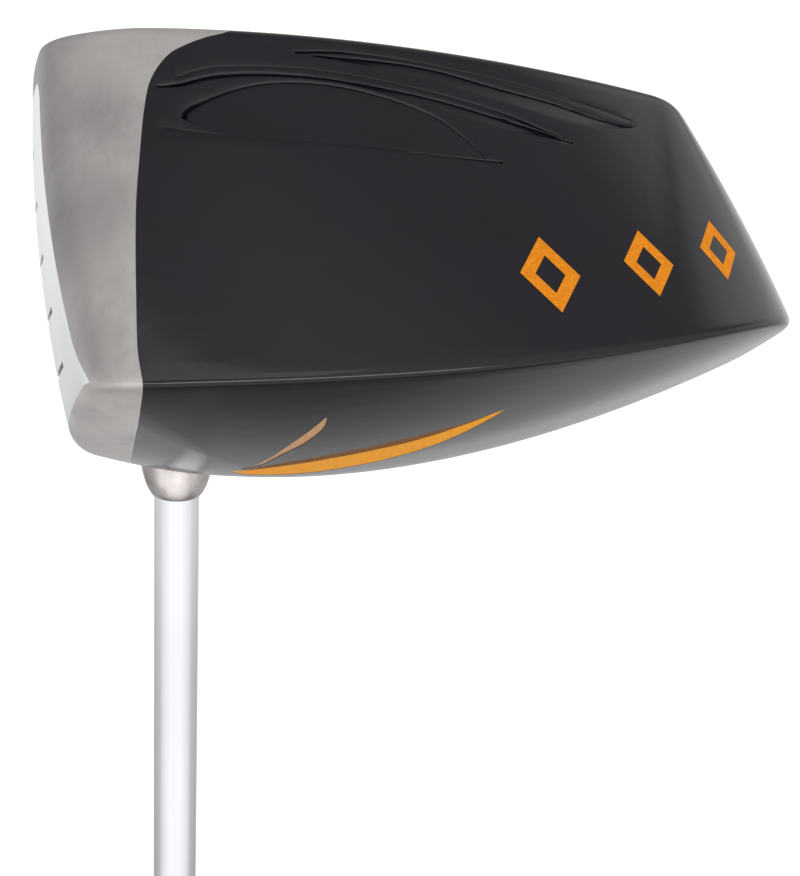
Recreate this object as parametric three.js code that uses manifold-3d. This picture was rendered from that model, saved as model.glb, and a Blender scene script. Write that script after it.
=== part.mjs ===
// Golf driver with a squared-back hollow head, a stepped steel shaft and a rubber grip.
// Millimetres. The shaft line is the Z axis, with the butt of the grip at zero and the head at the top.
// The head has a frame of its own: x runs from the face to the rear, y from heel to toe, z from sole
// to crown, and its zero is the point of the shaft line just outside the hosel rim.

import * as THREE from "three";
import { mergeVertices } from "three/addons/utils/BufferGeometryUtils.js";
import Module from "manifold-3d";

// Whole club
const clubLength = 1143;
const lieDegrees = 60;

// Clearances, and how near two points of a closed surface count as one
const fit = 0.3;
const overrun = 2;
const weldDistance = 0.0001;

// Head outline at the crown edge, seen from above: reach of each side from the shaft line, how far the
// corners lie inside the toe and heel reaches, and the bow of the face and of the rear
const crownToeReach = 113;
const crownHeelReach = 9;
const crownRearReach = 100;
const crownFaceReach = 16.2;
const crownFaceInset = 9;
const crownFaceBow = 5.3;
const crownRearToeInset = 21;
const crownRearHeelInset = 29;
const crownRearBow = 2.5;

// Head outline at the sole edge: how far each side lies inside the crown edge's, its corners and its bows
const soleToeInset = 21;
const soleHeelInset = 28;
const soleRearInset = 17.6;
const soleFaceLead = 7.5;
const soleFaceInset = 4.5;
const soleFaceBow = 3.2;
const soleRearToeInset = 15;
const soleRearHeelInset = 13;
const soleRearBow = 2.5;

// How far the middle of the face and the crown's top lie to the toe side
const faceCentreShift = 4;
const crownTopShift = 6;

// Heights above and below the zero of the head
const crownTopRise = 0.3;
const crownTopSetBack = 15;
const crownEdgeDrop = 8.1;
const crownEdgeRearFall = 15.4;
const crownEdgeFallPower = 3;
const faceTopRise = 3.4;
const soleEdgeDrop = 64.9;
const soleEdgeRearRise = 6.4;
const soleEdgeRisePower = 1.4;
const soleEdgeLowShare = 0.25;
const soleBottomDrop = 67;
const soleBottomSetBack = 22;

// Rounded corners and swelling of the walls
const frontCornerSetback = 4;
const crownRearCornerSetback = 24;
const soleRearCornerSetback = 9;
const crownEdgeRound = 1.4;
const soleEdgeRound = 3.2;
const faceRoll = 2;
const wallSwell = 1.1;

// Shell thicknesses
const faceWall = 2.8;
const skirtWall = 0.8;
const crownWall = 0.7;
const soleWall = 1.2;

// Front cup: the bare metal front of the head. Its rear edge sweeps forward on the way to the heel
const cupEdgeSweep = 5.4;
const cupEdgeShares = [[-0.026, 0.1], [-0.028, -0.09], [-0.04, -0.2], [-0.045, -0.43], [-0.038, -0.72],
  [-0.022, -0.86], [0.012, -0.93], [0.06, -0.97], [0.1, -0.99], [0.15, -1.04], [0.19, -1.2]];

// Face plate, its seam and its score lines
const faceSeam = 2.2;
const scoreLineCount = 5;
const scoreLineSpacing = 8.7;
const scoreLineTop = 13.4;
const scoreLineWidth = 0.9;
const scoreLineDepth = 0.5;
const scoreLineInnerEnd = 14;
const scoreLineOuterEnd = 32;
const scoreLineSlantShare = 0.3;

// Sole plate
const soleSeamInset = 9;

// Recesses in the toe and heel walls: shares of the rear reach and of the sole edge's drop
const scoopDepth = 1.7;
const gillDepth = 1.4;
const fadeDepth = 0.15;
const recessTipWidth = 0.4;
const scoopTopShares = [[0, -0.743], [0.05, -0.803], [0.13, -0.848], [0.22, -0.85], [0.31, -0.824],
  [0.39, -0.77], [0.46, -0.69]];
const scoopBaseShares = [[-0.01, -0.73], [0.07, -0.716], [0.15, -0.705], [0.23, -0.693], [0.31, -0.683],
  [0.39, -0.676], [0.475, -0.67]];
const lowGillTopShares = [[0, -0.858], [0.05, -0.883], [0.14, -0.895], [0.25, -0.881], [0.36, -0.854],
  [0.48, -0.807], [0.6, -0.75]];
const lowGillBaseShares = [[0, -0.851], [0.06, -0.869], [0.16, -0.876], [0.26, -0.861], [0.37, -0.832],
  [0.49, -0.786], [0.62, -0.733]];
const highGillTopShares = [[0.18, -0.936], [0.25, -0.943], [0.35, -0.932], [0.459, -0.908], [0.555, -0.883],
  [0.64, -0.858], [0.718, -0.823]];
const highGillBaseShares = [[0.185, -0.932], [0.27, -0.922], [0.36, -0.909], [0.46, -0.883], [0.56, -0.851],
  [0.64, -0.822], [0.715, -0.812]];

// Recesses in the crown and the inlays that lie in them: shares of the rear reach and of the toe reach
const slashDepth = 1.7;
const inlayThickness = 0.8;
const shortSlashRearShares = [[0.121, 0.637], [0.136, 0.681], [0.158, 0.739], [0.188, 0.808],
  [0.229, 0.885]];
const shortSlashFrontShares = [[0.13, 0.635], [0.154, 0.675], [0.182, 0.728], [0.21, 0.792],
  [0.232, 0.881]];
const longSlashFrontShares = [[0.093, 0.544], [0.132, 0.615], [0.19, 0.681], [0.27, 0.73], [0.38, 0.788],
  [0.499, 0.847]];
const longSlashRearShares = [[0.096, 0.529], [0.17, 0.52], [0.25, 0.549], [0.325, 0.633], [0.41, 0.73],
  [0.499, 0.843]];

// Hosel, along the shaft line from the zero of the head
const hoselRimDepth = 1;
const hoselRimWall = 0.35;
const hoselBowlRadius = 7.4;
const hoselBowlBulgeRadius = 6.4;
const hoselBowlBulgeDepth = 3.6;
const hoselBowlDepth = 10;
const hoselTubeRadius = 6.2;
const hoselFootBore = 3;
const hoselFootThickness = 3;
const hoselChamfer = 1.5;
const shaftInsertion = 38;
const bondGap = 0.12;

// Shaft
const shaftTipRadius = 4.25;
const shaftButtRadius = 7.6;
const shaftWall = 0.4;
const shaftFirstStep = 250;
const shaftStepSpacing = 44;
const shaftStepCount = 13;
const shaftStepSlope = 1.5;

// Plug in the tip of the shaft
const plugLength = 12;

// Grip
const gripLength = 268;
const gripMouthRadius = 8.9;
const gripButtRadius = 13.4;
const gripMouthRound = 1.6;
const gripFlareShare = 1 / 3;
const gripCapThickness = 3;
const gripCapRound = 1;
const gripCapSpigotRadius = 6.4;
const gripCapSpigotLength = 9;
const gripVentRadius = 1.5;
const gripSeam = 0.1;
const tapeThickness = 0.25;
const tapeMouthSetback = 14;

// Pieces inside the head
const weightRadius = 7;
const weightHeight = 9;
const cornerWeightInset = 18;
const cornerWeightSetBack = 14;
const rearWeightWidth = 26;
const rearWeightDepth = 9;
const ribThickness = 1.2;
const ribHeight = 6;
const ribCount = 3;
const ribSpacing = 11;
const ribSetBack = 28;
const ribRearGap = 6.9;
const gluePadRadius = 8;
const gluePadHeight = 3;
const gluePadRibGap = 3.4;
const gluePadSetBack = 42;
const braceThickness = 1.6;
const braceTop = 16;
const braceBottom = 36;

// Counts of steps
const faceSteps = 12;
const sideSteps = 12;
const rearSteps = 8;
const frontCornerSteps = 3;
const rearCornerSteps = 6;
const wallRows = 5;
const roomWallRows = 3;
const roundRows = 3;
const domeRowShares = [0, 0.1, 0.25, 0.45, 0.7];
const roomDomeRowShares = [0, 0.25, 0.6];
const recessSteps = 10;
const scoreLineSteps = 4;
const cupEdgeSteps = 24;
const sweepSteps = 6;
const roundSides = 24;
const bowlSteps = 8;
const domeSteps = 5;
const gripSteps = 10;
const placePasses = 4;

// The two edge outlines, each by its reaches, the places of its corners and its bows
const faceCentre = (crownToeReach - crownHeelReach) / 2 + faceCentreShift;
const crownEdge = {
  toe: crownToeReach,
  heel: -crownHeelReach,
  rear: crownRearReach,
  face: -crownFaceReach,
  faceWidth: crownToeReach + crownHeelReach - 2 * crownFaceInset,
  faceBow: crownFaceBow,
  rearToe: crownToeReach - crownRearToeInset,
  rearHeel: crownRearHeelInset - crownHeelReach,
  rearBow: crownRearBow,
  rearSetback: crownRearCornerSetback
};
const crownPeak = new THREE.Vector3(crownTopSetBack, faceCentre + crownTopShift, crownTopRise);
const soleToe = crownToeReach - soleToeInset;
const soleHeel = soleHeelInset - crownHeelReach;
const soleEdge = {
  toe: soleToe,
  heel: soleHeel,
  rear: crownRearReach - soleRearInset,
  face: -crownFaceReach - soleFaceLead,
  faceWidth: soleToe - soleHeel - 2 * soleFaceInset,
  faceBow: soleFaceBow,
  rearToe: soleToe - soleRearToeInset,
  rearHeel: soleHeel + soleRearHeelInset,
  rearBow: soleRearBow,
  rearSetback: soleRearCornerSetback
};

const wasm = await Module();
wasm.setup();

// A closed geometry as a solid that can be joined and cut.
function solid(geometry) {
  const bare = geometry.clone();
  bare.deleteAttribute("normal");
  bare.deleteAttribute("uv");
  const merged = mergeVertices(bare, weldDistance);
  return new wasm.Manifold(new wasm.Mesh({
    numProp: 3,
    vertProperties: new Float32Array(merged.attributes.position.array),
    triVerts: new Uint32Array(merged.index.array)
  }));
}

function geometryOf(body) {
  const mesh = body.getMesh();
  const geometry = new THREE.BufferGeometry();
  geometry.setAttribute("position", new THREE.BufferAttribute(mesh.vertProperties, 3));
  geometry.setIndex(new THREE.BufferAttribute(mesh.triVerts, 1));
  return geometry;
}

// Height of the crown edge and of the sole edge at a distance x behind the shaft line.
function crownEdgeHeight(x) {
  const share = (x + crownFaceReach) / (crownRearReach + crownFaceReach);
  return -crownEdgeDrop - crownEdgeRearFall * Math.max(share, 0) ** crownEdgeFallPower;
}

function soleEdgeHeight(x) {
  const lowest = soleEdge.face * soleEdgeLowShare;
  const share = (x - lowest) / (soleEdge.rear - lowest);
  return -soleEdgeDrop + soleEdgeRearRise * Math.abs(share) ** soleEdgeRisePower;
}

// The four corners of an edge outline, and the bow of each side, in order from the heel end of the face.
function outlineSides(edge) {
  const front = edge.face + edge.faceBow;
  const back = edge.rear - edge.rearBow;
  const heelFront = new THREE.Vector2(front, faceCentre - edge.faceWidth / 2);
  const toeFront = new THREE.Vector2(front, faceCentre + edge.faceWidth / 2);
  const toeRear = new THREE.Vector2(back, edge.rearToe);
  const heelRear = new THREE.Vector2(back, edge.rearHeel);
  const toeBow = edge.toe - (toeFront.y + toeRear.y) / 2;
  const heelBow = (heelFront.y + heelRear.y) / 2 - edge.heel;
  return [
    { from: heelFront, to: toeFront, out: new THREE.Vector2(-edge.faceBow, 0), steps: faceSteps },
    { from: toeFront, to: toeRear, out: new THREE.Vector2(0, toeBow), steps: sideSteps },
    { from: toeRear, to: heelRear, out: new THREE.Vector2(edge.rearBow, 0), steps: rearSteps },
    { from: heelRear, to: heelFront, out: new THREE.Vector2(0, -heelBow), steps: sideSteps }
  ];
}

// A point of a bowed side, at a share of the way along it.
function sidePoint(side, share) {
  return side.from.clone().lerp(side.to, share).addScaledVector(side.out, 4 * share * (1 - share));
}

// The direction of a bowed side, at a share of the way along it.
function sideWay(side, share) {
  return side.to.clone().sub(side.from).addScaledVector(side.out, 4 * (1 - 2 * share));
}

// Where two lines of the plan meet, each given by a point and a direction.
function crossing(a, wayA, b, wayB) {
  return a.clone().addScaledVector(wayA, b.clone().sub(a).cross(wayB) / wayA.cross(wayB));
}

// A closed outline with rounded corners. Each point carries how far it belongs to the face side.
function outlinePoints(edge) {
  const sides = outlineSides(edge);
  const setback = [frontCornerSetback, frontCornerSetback, edge.rearSetback, edge.rearSetback];
  const cornerSteps = [frontCornerSteps, frontCornerSteps, rearCornerSteps, rearCornerSteps];
  const points = [];
  sides.forEach((side, index) => {
    const length = side.from.distanceTo(side.to);
    const next = (index + 1) % 4;
    const begin = setback[index] / length;
    const end = 1 - setback[next] / length;
    for (let step = 0; step < side.steps; step += 1) {
      const share = begin + (end - begin) * step / side.steps;
      points.push({ at: sidePoint(side, share), face: index === 0 ? 1 : 0 });
    }
    const nextBegin = setback[next] / sides[next].from.distanceTo(sides[next].to);
    const start = sidePoint(side, end);
    const finish = sidePoint(sides[next], nextBegin);
    const meeting = crossing(start, sideWay(side, end), finish, sideWay(sides[next], nextBegin));
    const corner = new THREE.QuadraticBezierCurve(start, meeting, finish);
    for (let step = 0; step < cornerSteps[next]; step += 1) {
      const share = step / cornerSteps[next];
      const face = index === 0 ? 1 - share : index === 3 ? share : 0;
      points.push({ at: corner.getPoint(share), face });
    }
  });
  return points;
}

// Outward direction of a closed outline at each of its points.
function outlineNormals(points) {
  return points.map((point, index) => {
    const before = points[(index + points.length - 1) % points.length].at;
    const after = points[(index + 1) % points.length].at;
    const along = after.clone().sub(before).normalize();
    return new THREE.Vector2(-along.y, along.x);
  });
}

function lift(plan, height) {
  return new THREE.Vector3(plan.x, plan.y, height);
}

// The closed body of the head, drawn in by the walls' thicknesses when hollow is true, plus an extra gap.
function headBody(hollow, gap) {
  const wall = hollow ? skirtWall + gap : 0;
  const front = hollow ? faceWall + gap : 0;
  const roof = hollow ? crownWall + gap : 0;
  const floor = hollow ? soleWall + gap : 0;
  const crownPoints = outlinePoints(crownEdge);
  const solePoints = outlinePoints(soleEdge);
  const crownNormals = outlineNormals(crownPoints);
  const soleNormals = outlineNormals(solePoints);
  const crownTop = crownPeak.clone().setZ(crownPeak.z - roof);
  const soleBottom = new THREE.Vector3(soleBottomSetBack, faceCentre, -soleBottomDrop + floor);
  const count = crownPoints.length;
  const columns = crownPoints.map((point, index) => {
    const inset = THREE.MathUtils.lerp(wall, front, point.face);
    const toeShare = (point.at.y - faceCentre) / (crownEdge.faceWidth / 2);
    const faceRise = point.face * faceTopRise * (1 - Math.min(toeShare * toeShare, 1));
    const upper = lift(
      point.at.clone().addScaledVector(crownNormals[index], -inset),
      crownEdgeHeight(Math.max(point.at.x, -crownFaceReach)) + faceRise - roof
    );
    const lower = lift(
      solePoints[index].at.clone().addScaledVector(soleNormals[index], -inset),
      soleEdgeHeight(solePoints[index].at.x) + floor
    );
    const swell = THREE.MathUtils.lerp(wallSwell, faceRoll, point.face);
    const out = lift(crownNormals[index], 0);
    return headColumn({ crownTop, upper, lower, soleBottom, out, swell, rounded: !hollow });
  });
  return closedColumns(columns, crownTop, soleBottom, count);
}

// One column of points, from just beside the crown top down the wall to just beside the sole bottom.
function headColumn({ crownTop, upper, lower, soleBottom, out, swell, rounded }) {
  const domePoint = (edge, top, share) => {
    const point = edge.clone().lerp(top, share);
    point.z = edge.z + (top.z - edge.z) * (1 - (1 - share) ** 2);
    return point;
  };
  const wallPoint = share =>
    upper.clone().lerp(lower, share).addScaledVector(out, 4 * share * (1 - share) * swell);
  const planDistance = (a, b) => Math.hypot(a.x - b.x, a.y - b.y);
  const crownRound = rounded ? crownEdgeRound / planDistance(upper, crownTop) : 0;
  const soleRound = rounded ? soleEdgeRound / planDistance(lower, soleBottom) : 0;
  const wallBegin = rounded ? crownEdgeRound / (upper.z - lower.z) : 0;
  const wallEnd = rounded ? 1 - soleEdgeRound / (upper.z - lower.z) : 1;
  const domeShares = rounded ? domeRowShares : roomDomeRowShares;
  const rows = rounded ? wallRows : roomWallRows;
  const column = [...domeShares].reverse()
    .map(share => domePoint(upper, crownTop, crownRound + (1 - crownRound) * share));
  if (rounded) column.push(...roundOver(column.at(-1), upper, wallPoint(wallBegin)), wallPoint(wallBegin));
  for (let row = 1; row < rows; row += 1) {
    column.push(wallPoint(wallBegin + (wallEnd - wallBegin) * row / rows));
  }
  const soleStart = domePoint(lower, soleBottom, soleRound);
  if (rounded) column.push(wallPoint(wallEnd), ...roundOver(wallPoint(wallEnd), lower, soleStart));
  const insideRound = share => soleRound + (1 - soleRound) * share;
  column.push(...domeShares.map(share => domePoint(lower, soleBottom, insideRound(share))));
  return column;
}

// The points between the two ends of a rounded edge.
function roundOver(from, corner, to) {
  const curve = new THREE.QuadraticBezierCurve3(from.clone(), corner.clone(), to.clone());
  return Array.from({ length: roundRows - 1 }, (unused, row) => curve.getPoint((row + 1) / roundRows));
}

// Joins neighbouring columns with faces and closes both ends on a single point.
function closedColumns(columns, top, bottom, count) {
  const rows = columns[0].length;
  const positions = columns.flat().flatMap(point => point.toArray());
  const topIndex = count * rows;
  positions.push(...top.toArray(), ...bottom.toArray());
  const faces = [];
  for (let column = 0; column < count; column += 1) {
    const here = column * rows;
    const there = (column + 1) % count * rows;
    faces.push(topIndex, there, here);
    for (let row = 0; row < rows - 1; row += 1) {
      faces.push(here + row, there + row + 1, here + row + 1);
      faces.push(here + row, there + row, there + row + 1);
    }
    faces.push(here + rows - 1, there + rows - 1, topIndex + 1);
  }
  const geometry = new THREE.BufferGeometry();
  geometry.setAttribute("position", new THREE.Float32BufferAttribute(positions, 3));
  geometry.setIndex(faces);
  return geometry;
}

// Where the point of an outline's edge stands in height.
function crownRim() {
  return outlinePoints(crownEdge).map(point => lift(point.at, crownEdgeHeight(point.at.x)));
}

const rimPoints = crownRim();

// Height of the crown over a point of the plan, on the ray from the crown's peak to its rim.
function crownHeight(x, y) {
  const way = new THREE.Vector2(x - crownPeak.x, y - crownPeak.y);
  for (let index = 0; index < rimPoints.length; index += 1) {
    const here = rimPoints[index];
    const there = rimPoints[(index + 1) % rimPoints.length];
    const edge = new THREE.Vector2(there.x - here.x, there.y - here.y);
    const start = new THREE.Vector2(here.x - crownPeak.x, here.y - crownPeak.y);
    const across = way.cross(edge);
    const reach = start.cross(edge) / across;
    const along = start.cross(way) / across;
    if (reach > 0 && along >= 0 && along <= 1) {
      const rimHeight = here.z + (there.z - here.z) * along;
      return crownPeak.z + (rimHeight - crownPeak.z) / reach ** 2;
    }
  }
  return crownPeak.z;
}

// A point of the toe or heel wall, from its distance behind the shaft line and its height, moved out.
function wallPlace(sideIndex) {
  const upperSide = outlineSides(crownEdge)[sideIndex];
  const lowerSide = outlineSides(soleEdge)[sideIndex];
  const outward = Math.sign(upperSide.out.y);
  return (point, out) => {
    let down = (point.y + crownEdgeDrop) / (crownEdgeDrop - soleEdgeDrop);
    let upper;
    let lower;
    for (let pass = 0; pass < placePasses; pass += 1) {
      const startX = THREE.MathUtils.lerp(upperSide.from.x, lowerSide.from.x, down);
      const endX = THREE.MathUtils.lerp(upperSide.to.x, lowerSide.to.x, down);
      const share = (point.x - startX) / (endX - startX);
      upper = sidePoint(upperSide, share);
      lower = sidePoint(lowerSide, share);
      const top = crownEdgeHeight(upper.x);
      down = (point.y - top) / (soleEdgeHeight(lower.x) - top);
    }
    const swell = outward * 4 * down * (1 - down) * wallSwell;
    return new THREE.Vector3(
      point.x, THREE.MathUtils.lerp(upper.y, lower.y, down) + swell + outward * out, point.y
    );
  };
}

// A point of the crown over a point of the plan, moved up by a distance.
function crownPlace(point, out) {
  return new THREE.Vector3(point.x, point.y, crownHeight(point.x, point.y) + out);
}

// A point of the face at a distance y towards the toe and a height z, moved forward by a distance.
function facePlace(point, out) {
  const upperSide = outlineSides(crownEdge)[0];
  const lowerSide = outlineSides(soleEdge)[0];
  const down = (point.y + crownEdgeDrop) / (crownEdgeDrop - soleEdgeDrop);
  const startY = THREE.MathUtils.lerp(upperSide.from.y, lowerSide.from.y, down);
  const endY = THREE.MathUtils.lerp(upperSide.to.y, lowerSide.to.y, down);
  const share = (point.x - startY) / (endY - startY);
  const x = THREE.MathUtils.lerp(sidePoint(upperSide, share).x, sidePoint(lowerSide, share).x, down);
  return new THREE.Vector3(x - 4 * down * (1 - down) * faceRoll - out, point.x, point.y);
}

// A strip between two edge curves laid on a surface. It reaches out past the surface and down to one depth
// along the first edge and another along the second. Grow widens, lengthens and deepens it all round.
function strip({ first, second, steps, place, firstDepth, secondDepth, rise, grow }) {
  const edges = [first, second].map(points => new THREE.SplineCurve(points).getPoints(steps));
  const across = index => edges[0][index].clone().sub(edges[1][index]);
  const centre = index => edges[0][index].clone().add(edges[1][index]).multiplyScalar(0.5);
  const halfWidth = index => across(index).length() / 2 + grow;
  const middle = steps / 2;
  const sections = [];
  for (let index = 0; index <= steps; index += 1) {
    const half = halfWidth(index);
    if (grow < 0 && half < recessTipWidth / 2) continue;
    const way = across(index).length() > recessTipWidth / 2 ? across(index) : across(middle);
    const at = centre(index);
    const outward = at.clone().sub(centre(middle)).normalize();
    if (index === 0 || index === steps) at.addScaledVector(outward, grow);
    const reach = way.normalize().multiplyScalar(Math.max(half, recessTipWidth / 2));
    const a = at.clone().add(reach);
    const b = at.clone().sub(reach);
    sections.push([
      place(a, rise), place(a, -firstDepth - grow), place(b, -secondDepth - grow), place(b, rise)
    ]);
  }
  return solid(lofted(sections));
}

// A closed body through a row of sections with the same number of points, facing out either way round.
function lofted(sections) {
  const size = sections[0].length;
  const positions = sections.flat().flatMap(point => point.toArray());
  const faces = [];
  for (let index = 0; index < sections.length - 1; index += 1) {
    for (let corner = 0; corner < size; corner += 1) {
      const here = index * size + corner;
      const beside = index * size + (corner + 1) % size;
      faces.push(here, beside, beside + size, here, beside + size, here + size);
    }
  }
  const last = (sections.length - 1) * size;
  for (let corner = 1; corner < size - 1; corner += 1) {
    faces.push(0, corner + 1, corner, last, last + corner, last + corner + 1);
  }
  const geometry = new THREE.BufferGeometry();
  geometry.setAttribute("position", new THREE.Float32BufferAttribute(positions, 3));
  geometry.setIndex(faces);
  return signedVolume(positions, faces) < 0 ? turned(geometry) : geometry;
}

function signedVolume(positions, faces) {
  let sum = 0;
  const corner = index => new THREE.Vector3().fromArray(positions, index * 3);
  for (let face = 0; face < faces.length; face += 3) {
    sum += corner(faces[face]).dot(corner(faces[face + 1]).cross(corner(faces[face + 2])));
  }
  return sum;
}

function turned(geometry) {
  const index = geometry.index.array;
  for (let face = 0; face < index.length; face += 3) {
    [index[face + 1], index[face + 2]] = [index[face + 2], index[face + 1]];
  }
  return geometry;
}

// Points written as shares of two sizes.
function sharesToPoints(shares, across, along) {
  return shares.map(([a, b]) => new THREE.Vector2(a * across, b * along));
}

// A prism across the head, from an outline given in distances behind the shaft line and heights.
function prismAcross(points, steps) {
  const depth = crownToeReach + crownHeelReach + 2 * overrun;
  const shape = new THREE.Shape(points);
  const geometry = new THREE.ExtrudeGeometry(shape, { depth, steps, bevelEnabled: false });
  return geometry.rotateX(Math.PI / 2).translate(0, crownToeReach + overrun, 0);
}

// The front of the head, up to the rear edge of the cup.
function cupRegion(gap) {
  const edge = new THREE.SplineCurve(sharesToPoints(cupEdgeShares, crownRearReach, soleEdgeDrop));
  const points = edge.getPoints(cupEdgeSteps).map(point => new THREE.Vector2(point.x + gap, point.y + gap));
  const far = soleEdge.face - crownFaceReach;
  points.push(new THREE.Vector2(far, points.at(-1).y), new THREE.Vector2(far, points[0].y));
  const geometry = prismAcross(points, sweepSteps);
  const position = geometry.attributes.position;
  for (let index = 0; index < position.count; index += 1) {
    const share = (crownToeReach - position.getY(index)) / (crownToeReach + crownHeelReach);
    position.setX(index, position.getX(index) - cupEdgeSweep * share * (2 - share));
  }
  return solid(geometry);
}

// Everything above the seam that follows the crown edge, lowered by a gap.
function crownRegion(gap) {
  const from = -2 * crownFaceReach;
  const to = crownRearReach + crownFaceReach;
  const points = Array.from({ length: sideSteps + 1 }, (unused, step) => {
    const x = from + (to - from) * step / sideSteps;
    return new THREE.Vector2(x, crownEdgeHeight(x) - crownEdgeRound - gap);
  });
  points.push(new THREE.Vector2(to, crownEdgeDrop), new THREE.Vector2(from, crownEdgeDrop));
  return solid(prismAcross(points, 1));
}

// The part of the sole inside its seam, drawn in from the sole edge.
function soleRegion(gap) {
  const centre = new THREE.Vector2((soleEdge.rear + soleEdge.face) / 2, (soleToe + soleHeel) / 2);
  const half = new THREE.Vector2((soleEdge.rear - soleEdge.face) / 2, (soleToe - soleHeel) / 2);
  const scale = half.clone().addScalar(gap - soleSeamInset).divide(half);
  const outline = outlinePoints(soleEdge).map(point => point.at.sub(centre).multiply(scale).add(centre));
  const depth = soleSeamInset + overrun;
  const geometry = new THREE.ExtrudeGeometry(new THREE.Shape(outline), { depth, bevelEnabled: false });
  return solid(geometry.translate(0, 0, -soleBottomDrop - overrun));
}

// The opening of the face plate, seen from the front, as a prism from the front to the shaft line.
function faceRegion(gap) {
  const seam = faceSeam - gap;
  const topHalf = crownEdge.faceWidth / 2 - frontCornerSetback - seam;
  const bottomHalf = soleEdge.faceWidth / 2 - frontCornerSetback - seam;
  const bottom = -soleEdgeDrop + soleEdgeRound + seam;
  const points = [
    new THREE.Vector2(faceCentre - bottomHalf, bottom), new THREE.Vector2(faceCentre + bottomHalf, bottom)
  ];
  for (let step = 0; step <= faceSteps; step += 1) {
    const across = 1 - 2 * step / faceSteps;
    const height = -crownEdgeDrop - crownEdgeRound - seam + faceTopRise * (1 - across * across);
    points.push(new THREE.Vector2(faceCentre + across * topHalf, height));
  }
  const depth = overrun - soleEdge.face;
  const geometry = new THREE.ExtrudeGeometry(new THREE.Shape(points), { depth, bevelEnabled: false });
  geometry.rotateX(Math.PI / 2).rotateZ(Math.PI / 2);
  return solid(geometry.translate(-depth, 0, 0));
}

// The recesses of one wall.
function wallRecesses(place, grow) {
  const curve = shares => sharesToPoints(shares, crownRearReach, soleEdgeDrop);
  const common = { steps: recessSteps, place, rise: overrun, grow };
  const scoop = strip({
    ...common, first: curve(scoopTopShares), second: curve(scoopBaseShares),
    firstDepth: scoopDepth, secondDepth: fadeDepth
  });
  const lowGill = strip({
    ...common, first: curve(lowGillTopShares), second: curve(lowGillBaseShares),
    firstDepth: fadeDepth, secondDepth: gillDepth
  });
  const highGill = strip({
    ...common, first: curve(highGillTopShares), second: curve(highGillBaseShares),
    firstDepth: fadeDepth, secondDepth: gillDepth
  });
  return scoop.add(lowGill).add(highGill);
}

// A slash in the crown between two heights over the surface.
function slash([firstShares, secondShares], { top, bottom, grow }) {
  return strip({
    first: sharesToPoints(firstShares, crownRearReach, crownToeReach),
    second: sharesToPoints(secondShares, crownRearReach, crownToeReach),
    steps: recessSteps, place: crownPlace, firstDepth: bottom, secondDepth: bottom, rise: top, grow
  });
}

const shortSlash = [shortSlashRearShares, shortSlashFrontShares];
const longSlash = [longSlashFrontShares, longSlashRearShares];

// Every recess of the head's outside, each grown all round.
function recesses(grow) {
  const size = { top: overrun, bottom: slashDepth, grow };
  return wallRecesses(wallPlace(1), grow).add(wallRecesses(wallPlace(3), grow))
    .add(slash(shortSlash, size)).add(slash(longSlash, size));
}

// The inlay that lies in a slash, clear of its floor and its sides.
function inlay(pair) {
  const bottom = slashDepth - fit;
  return slash(pair, { top: inlayThickness - bottom, bottom: bottom - fit, grow: -fit });
}

// One score line, on the toe side or the heel side of the face's bare middle.
function scoreLine(row, side) {
  const height = -scoreLineTop - row * scoreLineSpacing;
  const outer = scoreLineOuterEnd - row * scoreLineSpacing * scoreLineSlantShare;
  const ends = [faceCentre + side * scoreLineInnerEnd, faceCentre + side * outer];
  const edge = rise => ends.map(y => new THREE.Vector2(y, height + rise));
  return strip({
    first: edge(scoreLineWidth / 2), second: edge(-scoreLineWidth / 2), steps: scoreLineSteps,
    place: facePlace, firstDepth: scoreLineDepth, secondDepth: scoreLineDepth, rise: overrun, grow: 0
  });
}

// A body turned about the Y axis from a closed profile of radius and height.
function turning(profile) {
  const points = profile.map(([radius, height]) => new THREE.Vector2(radius, height));
  points.push(points[0].clone());
  const geometry = new THREE.LatheGeometry(points, roundSides);
  return signedVolume(geometry.attributes.position.array, geometry.index.array) < 0
    ? turned(geometry)
    : geometry;
}

// The hosel along its own axis, from the rim into the head. A gap makes it a solid plug that much larger.
function hoselGeometry(gap) {
  const bore = shaftTipRadius + bondGap;
  const rim = new THREE.Vector2(bore + hoselRimWall + gap, hoselRimDepth - gap);
  const bowl = new THREE.QuadraticBezierCurve(
    rim, new THREE.Vector2(hoselBowlBulgeRadius + gap, hoselBowlBulgeDepth),
    new THREE.Vector2(hoselBowlRadius + gap, hoselBowlDepth)
  );
  const seat = shaftInsertion + overrun;
  const foot = seat + hoselFootThickness + gap;
  const neck = hoselBowlDepth + 2 * (hoselBowlRadius - hoselTubeRadius);
  const outside = [
    ...bowl.getPoints(bowlSteps).map(point => point.toArray()), [hoselTubeRadius + gap, neck],
    [hoselTubeRadius + gap, foot - hoselChamfer], [hoselTubeRadius + gap - hoselChamfer, foot]
  ];
  const inside = gap > 0
    ? [[0, foot], [0, rim.y]]
    : [[hoselFootBore, foot], [hoselFootBore, seat], [bore, seat], [bore, rim.y]];
  return turning([...outside, ...inside]);
}

// The hosel in the head's frame.
function hosel(gap) {
  return solid(hoselGeometry(gap).rotateX(-THREE.MathUtils.degToRad(lieDegrees)));
}

// The shell of the head, cut into its pieces with a gap at each seam.
function shellPieces() {
  const inside = solid(headBody(true, 0)).subtract(recesses(skirtWall));
  const shell = solid(headBody(false, 0)).subtract(recesses(0)).subtract(inside).subtract(hosel(fit));
  const cup = cupRegion(0);
  const behind = shell.subtract(cupRegion(fit));
  const below = behind.subtract(crownRegion(fit));
  return {
    face: shell.intersect(faceRegion(0)).intersect(cup),
    cup: shell.intersect(cup).subtract(faceRegion(fit)),
    crown: behind.intersect(crownRegion(0)),
    sole: below.intersect(soleRegion(0)),
    skirt: below.subtract(soleRegion(fit))
  };
}

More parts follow.
